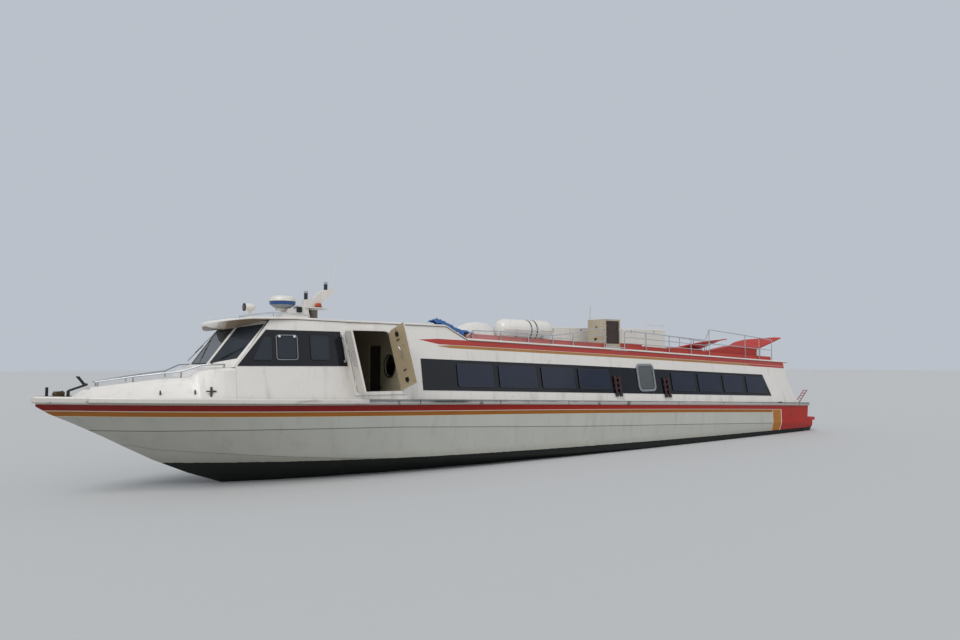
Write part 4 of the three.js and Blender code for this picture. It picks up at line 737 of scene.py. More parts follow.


# The wheelhouse roof: a white moulding that sweeps out into a visor over the windscreen, brown beneath
# with age stains and painted shade, with a low grab rail on each side, and the low-crowned cabin roof
# behind it, painted with grit.

roof_coat, roof_tint = weathered_white("roof_coat")
under = roof_coat.node("ShaderNodeNewGeometry", give="Normal")
facing = roof_coat.node("ShaderNodeSeparateXYZ", {0: under}, give=2)
# Faces that look down get a brown tint: part age stain, part painted shade.
underside_shade = facing.below(-0.5, 0.12)
mould = roof_coat.noise(3.5, 6)
stain_and_shade = roof_coat.mix(mould, tone("6f5a40"), tone("8f7c64"))
roof_tint = roof_coat.mix(underside_shade * (0.7 + mould * 0.4), roof_tint, stain_and_shade)
top_side = facing.above(0.8, 0.08)
puddles = roof_coat.noise(0.8, 5)
roof_tint = roof_coat.mix(top_side * (puddles - 0.5).spread(-0.02, 0.3) * 0.6, roof_tint, tone("8f8c80"))
grit = roof_coat.noise(160, 2)
roof_coat.set(base_color=roof_tint, roughness=0.4 + top_side * 0.35)
roof_coat.bump(roof_coat.noise(2, 2) * 0.4 + grit * top_side * 0.25, 0.004)
dress("wheelhouse_roof", roof_coat, edge=0.01, sharp=22)
dress("cabin_roof_forward", roof_coat, edge=0.01)
dress("cabin_roof_aft", roof_coat, edge=0.01)
visor_rail = bmesh.new()
rail_side = 1.02
for sign in (1, -1):
    line = [(21.37, 3.64), (20.92, 3.715), (20.63, 3.75), (20.4, 3.75), (19.81, 3.72)]
    posts = [(21.37, 3.57), (20.63, 3.64), (19.81, 3.66)]
    tube(visor_rail, [(x, rail_side * sign, z) for x, z in line], 0.017)
    for (x, z), (_, foot_z) in zip((line[0], line[2], line[4]), posts):
        tube(visor_rail, [(x, rail_side * sign, z), (x, rail_side * sign, foot_z)], 0.011)
finished("roof_grab_rails", visor_rail, chrome)


# Side doors: two leaves to a side, moulded, white outside and cream within, in a white frame. Each has
# black slide latches near its head and foot, small bolts and a bent handle on the inner face, and a
# grab handle outside.


def leaf_axes(node, inward):
    """The middle of a leaf's inner face, the way it looks, its own level line and its own upright line."""
    corners, out = broad_face(node, inward)
    sides = [after - before for before, after in zip(corners, corners[1:] + corners[:1])]
    up = max(sides, key=lambda line: line.length).normalized()
    if up.z < 0:
        up = -up
    level = up.cross(out)
    middle = out * corners[0].dot(out)
    for line in (level, up):
        reach = [corner.dot(line) for corner in corners]
        middle += line * (min(reach) + max(reach)) / 2
    return middle, out, level, up


def door_finish(name, middle, out):
    """White outside and at the edges, cream with age over the inner face."""
    finish, tint = weathered_white(name, 0.12)
    both = {0: finish.place, 1: tuple(out)}
    depth = finish.node("ShaderNodeVectorMath", both, give="Value", operation="DOT_PRODUCT")
    inner = depth.above(middle.dot(out) - 0.006, 0.002)
    age = finish.noise(2.5, 5)
    cream_tint = finish.mix(age, tone("bcaa8c"), tone("a79576"))
    cream_tint = finish.mix((finish.noise(9, 4) - 0.5).spread(0.12, 0.2) * 0.5, cream_tint, tone("6b5a42"))
    finish.set(base_color=finish.mix(inner, tint, cream_tint))
    return finish


latch_black = metal("latch_black", "1f2022", "121314", 0.5, 0.2)
leaves = [
    ("door_forward_port", (-1, -0.3, 0)),
    ("door_aft_port", (1, -0.3, 0)),
    ("door_forward_starboard", (0, 1, 0)),
    ("door_aft_starboard", (0, 1, 0)),
]
for leaf, inward in leaves:
    middle, out, level, up = leaf_axes(leaf, inward)
    finish = door_finish(leaf + "_coat", middle, out)
    dress(leaf, finish, leaf, edge=0.006)

    def on_leaf(across, rise, lift):
        """A place on the leaf, from the middle of its inner face: across, up and off it."""
        return middle + level * across + up * rise + out * lift

    fittings = bmesh.new()
    for rise in (0.54, -0.54):
        rim = [(-0.05, -0.05), (0.05, -0.05), (0.05, 0.05), (-0.05, 0.05)]
        plate(fittings, [on_leaf(a, rise + r, 0.018) for a, r in rim], 0.02, radius=0.012)
        tube(fittings, [on_leaf(0, rise, 0.01), on_leaf(0, rise + math.copysign(0.09, rise), 0.01)], 0.009)
    for rise in (0.40, -0.32):
        tube(fittings, [on_leaf(-0.05, rise, 0.012), on_leaf(0.05, rise + 0.015, 0.012)], 0.010)
        tube(fittings, [on_leaf(-0.03, rise, -0.002), on_leaf(-0.03, rise, 0.02)], 0.014)
    finished(leaf + "_latches", fittings, latch_black, leaf, edge=0.002)
    handles = bmesh.new()
    loop = [(-0.04, 0.14, 0.0), (-0.04, 0.13, 0.05), (0.0, 0.06, 0.06), (0.01, 0.0, 0.06), (0.0, -0.06, 0.06),
            (-0.04, -0.13, 0.05), (-0.04, -0.14, 0.0)]
    tube(handles, [on_leaf(a + 0.05, r + 0.1, lift) for a, r, lift in loop], 0.009)
    thick = 0.045
    loop = [(0.16, 0.0), (0.155, 0.05), (0.10, 0.065), (-0.10, 0.065), (-0.155, 0.05), (-0.16, 0.0)]
    tube(handles, [on_leaf(-0.14, r + 0.05, -thick - lift) for r, lift in loop], 0.011)
    finished(leaf + "_handles", handles, chrome, leaf)


# The after wall and its sliding door: a white moulding across the end of the cabin, and a cream door
# that slides to starboard, with a pane in a rubber seal and a flush grip.

dress("cabin_aft_wall", gel_coat, edge=0.0)
door_cream = Finish("door_cream", roughness=0.45)
age = door_cream.noise(2.0, 5)
door_tint = door_cream.mix(age, tone("c3b292"), tone("ac9a78"))
door_tint = door_cream.mix(door_cream.z.below(1.6, 0.3) * 0.3, door_tint, tone("6e6350"))
door_cream.set(base_color=door_tint, roughness=0.4 + age * 0.2)
door_cream.bump(door_cream.noise(12, 3), 0.002)
dress("aft_door", door_cream, "aft_door", edge=0.006)
door_rows = {}
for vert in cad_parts["aft_door"].data.vertices:
    level = round(vert.co.z, 3)
    door_rows[level] = min(door_rows.get(level, vert.co.x), vert.co.x)
door_rows = sorted(door_rows.items())


def on_aft_door(across, z, lift):
    """A place over the after face of the sliding door, which is bent in flats like the wall."""
    for (z0, x0), (z1, x1) in zip(door_rows, door_rows[1:]):
        if z <= z1:
            out = Vector((z0 - z1, 0, x1 - x0)).normalized()
            return Vector((x0 + (x1 - x0) * (z - z0) / (z1 - z0), across, z)) + out * lift


pane_rim = [(-0.24, 2.16), (-0.24, 2.45), (0.24, 2.45), (0.24, 2.16)]
door_pane = bmesh.new()
plate(door_pane, [on_aft_door(a, z, 0.004) for a, z in pane_rim], 0.003, radius=0.06)
finished("aft_door_pane", door_pane, pane_glass, "aft_door")
door_seal = bmesh.new()
seal_rim = [(-0.25, 2.15), (-0.25, 2.46), (0.25, 2.46), (0.25, 2.15)]
plate(door_seal, [on_aft_door(a, z, 0.006) for a, z in seal_rim], 0.005, radius=0.06, ring=0.016)
finished("aft_door_seal", door_seal, black_rubber, "aft_door")
door_grip = bmesh.new()
grip_rim = [(0.26, 1.76), (0.26, 1.94), (0.32, 1.94), (0.32, 1.76)]
plate(door_grip, [on_aft_door(a, z, 0.003) for a, z in grip_rim], 0.004, radius=0.02, ring=0.010)
finished("aft_door_grip", door_grip, chrome, "aft_door")


# The entrance bulkhead: a cream panel across the cabin, with a doorway and a round port whose rim is a
# black ring, and a small black knob beside the doorway.

panel_cream = Finish("panel_cream", roughness=0.55)
age = panel_cream.noise(1.8, 5)
panel_tint = panel_cream.mix(age, tone("d8cbb0"), tone("c4b697"))
panel_tint = panel_cream.mix(panel_cream.z.below(1.35, 0.15) * 0.3, panel_tint, tone("7d725c"))
panel_cream.set(base_color=panel_tint, roughness=0.5 + age * 0.2)
panel_cream.bump(panel_cream.noise(10, 3), 0.002)
dress("entrance_bulkhead", panel_cream, edge=0.004)


def turned(shape, profile, place, segments=32):
    """Spins a profile of (radius, height) about an upright line, then sets it at a place."""
    verts = [shape.verts.new((radius, 0, height)) for radius, height in profile]
    edges = [shape.edges.new(pair) for pair in zip(verts, verts[1:])]
    bmesh.ops.spin(
        shape,
        geom=verts + edges,
        axis=(0, 0, 1),
        cent=(0, 0, 0),
        steps=segments,
        angle=math.tau,
        use_merge=True,
    )
    whole = {vert for edge in edges if edge.is_valid for vert in edge.verts}
    reach = list(whole)
    while reach:
        vert = reach.pop()
        for edge in vert.link_edges:
            other = edge.other_vert(vert)
            if other not in whole:
                whole.add(other)
                reach.append(other)
    bmesh.ops.remove_doubles(shape, verts=list(whole), dist=1e-5)
    kept = [vert for vert in whole if vert.is_valid]
    bmesh.ops.transform(shape, matrix=place, verts=kept)


facing_forward = Matrix.Translation((17.5705, 0.78, 2.56)) @ Matrix.Rotation(math.pi / 2, 4, "Y")
port_ring = bmesh.new()
turned(port_ring, [(0.250, 0.0), (0.250, 0.014), (0.272, 0.018), (0.290, 0.012), (0.292, 0.0), (0.250, 0.0)],
       facing_forward, 40)
finished("bulkhead_port_ring", port_ring, black_rubber)
knob = bmesh.new()
ball(knob, (17.60, 0.36, 2.02), 0.022)
tube(knob, [(17.5705, 0.36, 2.02), (17.60, 0.36, 2.02)], 0.009)
finished("bulkhead_knob", knob, latch_black)


# The cabin floors: grey-green non-slip paint on the raised forward sole and on a lift-out hatch over
# the engines, which has four lifting rings.

sole_paint = Finish("sole_paint", roughness=0.8)
dirt = sole_paint.noise(2.4, 5)
sole_paint.set(base_color=sole_paint.mix(dirt, tone("74776a"), tone("585b4f")), roughness=0.7 + dirt * 0.2)
sole_paint.bump(sole_paint.noise(140, 2), 0.002)
dress("forward_sole", sole_paint, edge=0.005)
dress("sole_hatch", sole_paint, edge=0.004)
hatch_low, hatch_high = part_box("sole_hatch")
lift_rings = bmesh.new()
ring_section = [(0.030, 0.0), (0.030, 0.004), (0.036, 0.006), (0.042, 0.004), (0.042, 0.0), (0.030, 0.0)]
for x in (hatch_low[0] + 0.3, hatch_high[0] - 0.3):
    for y in (-0.2, 0.2):
        place = Matrix.Translation((x, y, hatch_high[2] + 0.001))
        turned(lift_rings, ring_section, place, 24)
finished("sole_hatch_rings", lift_rings, chrome)


# Passenger seats: upholstered benches in rows on each side of the aisle, in faded blue cloth with sewn
# seams.

seat_cloth = Finish("seat_cloth", roughness=0.9)
weave = seat_cloth.noise(220, 2)
fading = seat_cloth.noise(1.6, 4)
cloth_tint = seat_cloth.mix(fading, tone("27406e"), tone("1d3158"))
cloth_tint = seat_cloth.mix(weave * 0.3, cloth_tint, tone("4c6696"))
for edge_at in (0.62, 1.03, 1.2):
    seam = abs(abs(seat_cloth.y) - edge_at).below(0.004, 0.003)
    cloth_tint = seat_cloth.mix(seam * 0.7, cloth_tint, tone("10192c"))
seat_cloth.set(base_color=cloth_tint, roughness=0.85 + weave * 0.1)
seat_cloth.bump(weave * 0.4 + fading, 0.003)
for side in ("port", "starboard"):
    dress("seats_" + side, seat_cloth, edge=0.02, sharp=30)


# The helm: an off-white console with a black top and four round chrome dials, and a padded seat in dark
# cloth behind it.

console_coat = Finish("console_coat", roughness=0.45)
grain = console_coat.noise(3, 4)
console_tint = console_coat.mix(grain, tone("c4c0b4"), tone("aca798"))
console_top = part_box("helm_console")[1][2]
top_dark = console_coat.z.above(console_top - 0.09, 0.004)
console_tint = console_coat.mix(top_dark, console_tint, tone("1b1c1e"))
console_coat.set(base_color=console_tint, roughness=0.4 + grain * 0.2)
console_coat.bump(console_coat.noise(50, 3), 0.0015)
dress("helm_console", console_coat, edge=0.005)
dials = bmesh.new()
dial_section = [(0.0, 0.004), (0.034, 0.004), (0.038, 0.008), (0.044, 0.006), (0.045, 0.0), (0.0, 0.0)]
for y in (0.25, 0.36, 0.54, 0.65):
    at = Matrix.Translation((20.22, y, console_top + 0.002))
    turned(dials, dial_section, at, 24)
finished("helm_dials", dials, chrome)
helm_cloth = Finish("helm_cloth", roughness=0.8)
helm_weave = helm_cloth.noise(150, 3)
helm_cloth.set(base_color=helm_cloth.mix(helm_cloth.noise(2, 4), tone("24262a"), tone("34373c")))
helm_cloth.bump(helm_weave, 0.002)
dress("helm_seat", helm_cloth, edge=0.02, sharp=30)


# The engines: two in-line diesels under the sole, green-grey blocks with six branches that run down to
# a gallery along the outer side.

engine_paint = Finish("engine_paint", roughness=0.5, metallic=0.2)
oil = engine_paint.noise(5, 5)
engine_tint = engine_paint.mix(oil, tone("5d6b64"), tone("3e4a45"))
engine_tint = engine_paint.mix((oil - 0.5).spread(0.08, 0.2) * 0.7, engine_tint, tone("1c1b18"))
engine_paint.set(base_color=engine_tint, roughness=0.4 + oil * 0.3)
engine_paint.bump(engine_paint.noise(18, 4), 0.006)
for side, sign in (("port", 1), ("starboard", -1)):
    dress("engine_" + side, engine_paint, edge=0.03, sharp=30)
    low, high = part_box("engine_" + side)
    length, breadth = high[0] - low[0], high[1] - low[1]
    middle_y = (low[1] + high[1]) / 2
    extras = bmesh.new()
    for i in range(6):
        x = low[0] + length * (0.16 + 0.125 * i)
        outer = high[1] if sign > 0 else low[1]
        branch = [
            (x, middle_y + sign * breadth * 0.2, high[2] + 0.004),
            (x, outer + sign * 0.004, high[2] - 0.14),
            (x, outer + sign * 0.008, high[2] - 0.26),
        ]
        tube(extras, branch, 0.028, 14)
    line = high[1] + 0.008 if sign > 0 else low[1] - 0.008
    gallery = [(low[0] + length * share, line, high[2] - 0.27) for share in (0.1, 0.84)]
    tube(extras, gallery, 0.04, 16)
    finished("engine_manifold_" + side, extras, latch_black)


# The roof coaming: a raised red panel round the gear on the cabin roof, with a painted pink glare
# toward the bow, and dull scuffs.


def red_paint_on(name, base, faded, share):
    """Red paint with cloudy bleaching and scuffs, and a share of painted pink glare that grows toward the
    bow.
    """
    finish = Finish(name, roughness=0.55)
    bleach = finish.noise(0.8, 5)
    scuffed = finish.noise(9, 5)
    tint = finish.mix(bleach, tone(base), tone(faded))
    # Painted glare: the red is blended to pink toward the bow, where it catches the sky.
    tint = finish.mix(finish.x.spread(9.0, 15.0) * share, tint, tone("c48a86"))
    tint = finish.mix((scuffed - 0.5).spread(0.12, 0.22) * 0.5, tint, tone("8a5a52"))
    finish.set(base_color=tint, roughness=0.5 + bleach * 0.25)
    finish.bump(finish.noise(4, 3) * 0.7 + finish.noise(90, 2) * 0.05, 0.003)
    return finish


coaming_red = red_paint_on("coaming_red", "b8301c", "a53a2c", 0.7)
dress("roof_coaming", coaming_red, edge=0.01)


# The hatch house: a cream box over a way down to the cabin, moulded with the bay of roof under it.
# Its door faces port, dark brown as painted doorway shade; its fore end carries a small black knob and a
# latch.

house_coat = Finish("house_coat", roughness=0.5)
age = house_coat.noise(2.5, 5)
drip = house_coat.noise(1.0, 4, stretch=(14, 14, 1))
house_tint = house_coat.mix(age, tone("bdb09a"), tone("a89a83"))
house_tint = house_coat.mix((drip - 0.5).spread(0.04, 0.25) * 0.45, house_tint, tone("7d705b"))
on_roof = (house_coat.z - sheer(house_coat.x)).below(1.53 + 0.075, 0.01)
roof_part = house_coat.mix(house_coat.noise(0.8, 5), tone("dcd7cf"), tone("bdb8ab"))
house_coat.set(base_color=house_coat.mix(on_roof, house_tint, roof_part), roughness=0.45 + age * 0.2)
house_coat.bump(house_coat.noise(5, 3), 0.003)
dress("hatch_house", house_coat, edge=0.008)
# Painted shade: the door is dark brown, the tone of the shade in the doorway.
doorway_shade_brown = Finish("doorway_shade_brown", roughness=0.45)
rain = doorway_shade_brown.noise(1.0, 4, stretch=(12, 12, 1))
doorway_shade_brown.set(base_color=doorway_shade_brown.mix(rain, tone("2c1c14"), tone("3d2a1f")), roughness=0.35 + rain * 0.25)
doorway_shade_brown.bump(rain, 0.003)
dress("hatch_door", doorway_shade_brown, "hatch_door", edge=0.005)
house_fittings = bmesh.new()
ball(house_fittings, (10.462, 0.98, 3.74), 0.022)
tube(house_fittings, [(10.438, 0.98, 3.74), (10.462, 0.98, 3.74)], 0.01)
for low, high in (((10.439, 0.88, 3.36), (10.456, 1.0, 3.40)), ((10.439, 0.90, 3.31), (10.470, 0.93, 3.37))):
    box(house_fittings, low, high)
finished("hatch_house_latch", house_fittings, latch_black, edge=0.003)
door_low, door_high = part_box("hatch_door")
hatch_panels = bmesh.new()
face_y = 1.328
height = door_high[2] - door_low[2]
ends = (door_low[0] + 0.07, door_high[0] - 0.07)
for low_share, high_share in ((0.07, 0.47), (0.54, 0.93)):
    foot = door_low[2] + height * low_share
    head = door_low[2] + height * high_share
    rim = [(ends[0], foot), (ends[0], head), (ends[1], head), (ends[1], foot)]
    plate(hatch_panels, [(x, face_y + 0.006, z) for x, z in rim], 0.008, radius=0.02, ring=0.022)
finished("hatch_door_panels", hatch_panels, doorway_shade_brown, "hatch_door", edge=0.002)
hatch_handle = bmesh.new()
handle_x = door_low[0] + 0.04
handle_rows = ((0.0, 3.62), (0.03, 3.62), (0.03, 3.74), (0.0, 3.74))
handle_loop = [(handle_x, face_y + lift, z) for lift, z in handle_rows]
tube(hatch_handle, handle_loop, 0.007)
finished("hatch_door_handle", hatch_handle, chrome, "hatch_door")


# The life raft: a white canister in two halves joined by a rib round its length, held down on its
# cradle by two straps with buckles.

raft_coat = weathered_white("raft_coat")[0]
dress("life_raft", raft_coat, edge=0.0, sharp=50)
cradle_steel = metal("cradle_steel", "9a9ea1", "777b7f", 0.45, 0.8)
dress("raft_cradle", cradle_steel, edge=0.004)
raft_middle = Vector((13.19, 0.75, 3.565))


def raft_girth(shape, x, radius, thick, width):
    """A flat band right round the canister at one place along it."""
    place = Matrix.Translation((x, *raft_middle.yz)) @ Matrix.Rotation(math.pi / 2, 4, "Y")
    half, outer = width / 2, radius + thick
    profile = [(radius, -half), (outer, -half), (outer, half), (radius, half), (radius, -half)]
    turned(shape, profile, place, 48)


straps = bmesh.new()
strap_stations = (12.93, 13.14)
for x in strap_stations:
    raft_girth(straps, x, 0.306, 0.005, 0.045)
strap_web = Finish("strap_web", roughness=0.85)
strap_web.set(base_color=strap_web.mix(strap_web.noise(120, 2), tone("6d6a64"), tone("4e4c48")))
strap_web.bump(strap_web.noise(200, 2), 0.001)
finished("raft_straps", straps, strap_web)
raft_rib = bmesh.new()
rim = [(-0.97, 0.0), (-0.89, 0.262), (-0.74, 0.306), (0.74, 0.306), (0.89, 0.262), (0.97, 0.0)]
for sign in (1, -1):
    tube(raft_rib, [raft_middle + Vector((x, sign * y, 0)) for x, y in rim], 0.012, 10)
finished("raft_seam", raft_rib, raft_coat)
buckles = bmesh.new()
for x in strap_stations:
    box(buckles, (x - 0.03, 1.056, 3.60), (x + 0.03, 1.070, 3.66))
finished("raft_buckles", buckles, chrome, edge=0.003)


# The roof locker: a long white box on the centreline, with a rounded lid edge, lids with hasps, and a
# hoop aft.

locker_coat, locker_tint = weathered_white("locker_coat", 0.1)
lid_pitch = 1.18
lid_gap = (locker_coat.x * (math.tau / lid_pitch)).wave().above(0.9996, 0.0003)
locker_tint = locker_coat.mix(lid_gap * 0.8, locker_tint, tone("3b3a36"))
locker_coat.set(base_color=locker_tint)
dress("roof_locker", locker_coat, edge=0.008)
hasps = bmesh.new()
for i in range(5):
    x = 6.9 + i * lid_pitch
    z = 3.80 - (x - 6.32) * 0.01265 - 0.09
    for sign in (1, -1):
        box(hasps, (x - 0.02, sign * 0.3 - 0.007, z - 0.05), (x + 0.02, sign * 0.3 + 0.007, z + 0.05))
        tube(hasps, [(x, sign * 0.3, z - 0.03), (x, sign * 0.318, z - 0.03)], 0.009)
finished("locker_hasps", hasps, chrome, edge=0.002)


# Roof rails: thin steel tube, gone dull.

rail_steel = metal("rail_steel", "c4c7ca", "a0a4a8", 0.42, 0.6)
for side in ("port", "starboard"):
    dress("roof_rail_" + side, rail_steel, edge=0.0, sharp=50)


# The wings: a red moulded fin and tail on each after corner of the roof, standing on thin white posts.

wing_red = red_paint_on("wing_red", "b5261a", "a33226", 0.0)
for side in ("port", "starboard"):
    dress("roof_wing_" + side, wing_red, edge=0.012)
wing_posts = bmesh.new()
for x, z in ((2.13, 3.26), (1.93, 3.30)):
    tube(wing_posts, [(x, 1.22, sheer(x) + 1.56), (x, 1.22, z)], 0.013)
both_sides(wing_posts)
post_white = Finish("post_white", roughness=0.5)
post_white.set(base_color=post_white.mix(post_white.noise(12, 4), tone("cfcdc6"), tone("a9a69c")))
post_white.bump(post_white.noise(60, 2), 0.0006)
finished("wing_posts", wing_posts, post_white)


# A blue tarpaulin, bundled over the low step between the two roofs on the port side, in soft creases.


def roof_height(x, y):
    """Top of the roofs about the step between them."""
    edge = sheer(x) + 1.54
    if x > 15.77:
        edge = 3.272 + (min(x, 16.4) - 15.79) * 0.5295 + max(0, x - 16.4) * 0.01
    return edge + 0.07 * (1 - (y / 1.55) ** 2)


tarp_top = [(15.17, 3.34), (15.27, 3.42), (15.5, 3.475), (15.7, 3.51), (15.91, 3.60), (16.1, 3.68)]
tarp_top += [(16.35, 3.76), (16.47, 3.73), (16.54, 3.69)]


def tarp_height(x, y):
    """The cloth's height: the crest along its middle, down to the roof at its rims, with creases."""
    for (x0, z0), (x1, z1) in zip(tarp_top, tarp_top[1:]):
        if x <= x1:
            break
    crest = z0 + (z1 - z0) * (x - x0) / (x1 - x0)
    rim = roof_height(x, y) + 0.015
    if 15.44 < x < 15.68:
        rim = max(rim, roof_height(x, y) + 0.135)
    share = abs(y - 1.04) / 0.25
    hump = max(0.0, 1 - share * share) ** 0.6
    crease = 0.010 * math.sin(31 * x + 15 * y) + 0.007 * math.sin(53 * x - 34 * y)
    crease += 0.008 * math.sin(46 * y + 6 * x)
    return rim + max(0.0, crest - rim) * hump + crease * min(1.0, hump * 2) + 0.008


tarp_shape = bmesh.new()
bmesh.ops.create_grid(tarp_shape, x_segments=72, y_segments=30, size=0.5)
for vert in tarp_shape.verts:
    x = 15.85 + vert.co.x * 1.34
    y = 1.04 + vert.co.y * 0.49 + 0.02 * math.sin(7 * x)
    vert.co = (x, y, tarp_height(x, y))
bmesh.ops.recalc_face_normals(tarp_shape, faces=tarp_shape.faces)
bmesh.ops.solidify(tarp_shape, geom=tarp_shape.faces[:], thickness=-0.0015)
tarp_blue = Finish("tarp_blue", roughness=0.6)
weave = tarp_blue.noise(300, 2)
soil = tarp_blue.noise(5, 5)
tarp_tint = tarp_blue.mix(soil, tone("2d5f9e"), tone("24497c"))
tarp_tint = tarp_blue.mix((soil - 0.5).spread(0.05, 0.25) * 0.5, tarp_tint, tone("7d8a96"))
tarp_blue.set(base_color=tarp_tint, roughness=0.5 + soil * 0.3)
tarp_blue.bump(weave, 0.0006)
tarp = finished("tarpaulin", tarp_shape, tarp_blue, sharp=80)


# The mast: a white moulded box and pedestal on the wheelhouse roof, with a raked arm, two black lights
# with clear tops, a grey-brown hub, whip aerials, an orange beacon, and a black loudspeaker on its
# port face.

mast_coat, mast_tint = weathered_white("mast_coat", 0.05)
mx, my, mz = mast_coat.x, abs(mast_coat.y), mast_coat.z
lamp_black = mx.between(19.40, 19.52) * mz.between(4.155, 4.33) * my.below(0.06)
lamp_black = lamp_black + mx.between(18.89, 19.01) * mz.between(4.41, 4.58) * my.below(0.06)
lamp_clear = mx.between(19.40, 19.52) * mz.between(4.33, 4.40) * my.below(0.06)
lamp_clear = lamp_clear + mx.between(18.89, 19.01) * mz.between(4.58, 4.66) * my.below(0.06)
hub = mx.between(19.14, 19.41) * mz.between(3.70, 3.92) * my.below(0.14)
mast_tint = mast_coat.mix(hub, mast_tint, tone("6a6259"))
mast_tint = mast_coat.mix(lamp_black, mast_tint, tone("191a1d"))
mast_tint = mast_coat.mix(lamp_clear, mast_tint, tone("9aa3aa"))
mast_coat.set(base_color=mast_tint)
dress("mast", mast_coat, edge=0.006, sharp=32)
speaker = bmesh.new()
box(speaker, (19.65, 0.205, 3.84), (19.78, 0.262, 3.97))
finished("mast_speaker", speaker, black_rubber, edge=0.012)
speaker_rim = bmesh.new()
speaker_face = [(x, 0.266, z) for x, z in ((19.66, 3.85), (19.66, 3.96), (19.77, 3.96), (19.77, 3.85))]
plate(speaker_rim, speaker_face, 0.006, radius=0.02, ring=0.012)
for i in range(4):
    z = 3.874 + i * 0.021
    tube(speaker_rim, [(19.675, 0.263, z), (19.755, 0.263, z)], 0.003, 8)
finished("mast_speaker_grille", speaker_rim, latch_black, edge=0.001)
beacon_base = bmesh.new()
beacon_x, beacon_y = 19.195, 0.14
turned(beacon_base, [(0.0, 0.0), (0.092, 0.0), (0.092, 0.018), (0.078, 0.026), (0.0, 0.026)],
       Matrix.Translation((beacon_x, beacon_y, 3.981)))
finished("beacon_base", beacon_base, black_rubber)
beacon_lens = bmesh.new()
turned(beacon_lens, [(0.0, 0.0), (0.078, 0.0), (0.076, 0.05), (0.062, 0.078), (0.0, 0.086)],
       Matrix.Translation((beacon_x, beacon_y, 4.0075)))
beacon_orange = Finish("beacon_orange", roughness=0.2)
ribs = (beacon_orange.z * 620).wave()
beacon_orange.set(base_color=beacon_orange.mix(beacon_orange.noise(20, 2), tone("d2451c"), tone("a8300f")))
beacon_orange.bump(ribs, 0.0012)
finished("beacon_lens", beacon_lens, beacon_orange)


# The radar dome: white above, with a dark seam, a blue band round its skirt and a grey tapered base.

dome_coat, dome_tint = weathered_white("dome_coat", 0.05)
dome_tint = dome_coat.mix(dome_coat.z.below(4.088, 0.002), dome_tint, tone("1f4c86"))
dome_tint = dome_coat.mix(dome_coat.z.below(4.012, 0.002), dome_tint, tone("8d9296"))
dome_coat.set(base_color=dome_tint)
dress("radar_dome", dome_coat, edge=0.0, sharp=50)
dome_seam = bmesh.new()
turned(dome_seam, [(0.303, -0.004), (0.309, -0.002), (0.309, 0.002), (0.303, 0.004), (0.303, -0.004)],
       Matrix.Translation((20.04, 0, 4.092)), 48)
finished("radar_dome_seam", dome_seam, black_rubber)


# The searchlight: a white can on a short neck, which pans, with a dark ribbed lens in a black rim.

lamp_coat = weathered_white("lamp_coat", 0.0)[0]
dress("searchlight", lamp_coat, "searchlight", edge=0.004, sharp=40)
lens_middle = (21.05, 0.3, 3.9)
facing_bow = Matrix.Translation(lens_middle) @ Matrix.Rotation(math.pi / 2, 4, "Y")
lens_rim = bmesh.new()
rim_section = [(0.070, -0.02), (0.089, -0.02), (0.090, 0.006), (0.080, 0.010), (0.070, 0.004), (0.070, -0.02)]
turned(lens_rim, rim_section, facing_bow, 40)
finished("searchlight_rim", lens_rim, latch_black, "searchlight")
lens = bmesh.new()
turned(lens, [(0.0, 0.001), (0.070, 0.001), (0.066, 0.006), (0.036, 0.010), (0.0, 0.011)], facing_bow, 40)
lens_glass = Finish("lens_glass", roughness=0.05)
both = {0: lens_glass.place, 1: lens_middle}
apart = lens_glass.node("ShaderNodeVectorMath", both, give="Value", operation="DISTANCE")
rings = (apart * 900).wave()
lens_glass.set(base_color=lens_glass.mix(lens_glass.noise(30, 2), tone("23272c"), tone("3a4047")))
lens_glass.bump(rings, 0.0008)
finished("searchlight_lens", lens, lens_glass, "searchlight")


# The foredeck trunk: white, with low steel rails, and small dark lashing eyes and a cross cleat on its
# sides.

trunk_coat, trunk_tint = weathered_white("trunk_coat", 0.0)
tread = trunk_coat.noise(170, 2)
trunk_normal = trunk_coat.node("ShaderNodeNewGeometry", give="Normal")
flat_top = trunk_coat.node("ShaderNodeSeparateXYZ", {0: trunk_normal}, give=2)
walked = flat_top.above(0.94, 0.04)
tread_tint = trunk_coat.mix(trunk_coat.noise(1.2, 5), tone("bdbab0"), tone("9d998d"))
trunk_tint = trunk_coat.mix(walked * 0.6, trunk_tint, tread_tint)
trunk_coat.set(base_color=trunk_tint)
trunk_coat.bump(trunk_coat.noise(3, 2) * 0.5 + tread * walked * 0.3, 0.004)
dress("foredeck", trunk_coat, edge=0.006)
for side in ("port", "starboard"):
    dress("bow_rail_" + side, rail_steel, edge=0.0, sharp=50)


def outside_of(node, x, z):
    """Where a level line from the port side first meets a node, with the way its surface looks there."""
    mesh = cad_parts[node].data
    corners = [vert.co for vert in mesh.vertices]
    skin_of = BVHTree.FromPolygons(corners, [face.vertices for face in mesh.polygons])
    at, normal, _, _ = skin_of.ray_cast(Vector((x, 3, z)), Vector((0, -1, 0)))
    return at, normal


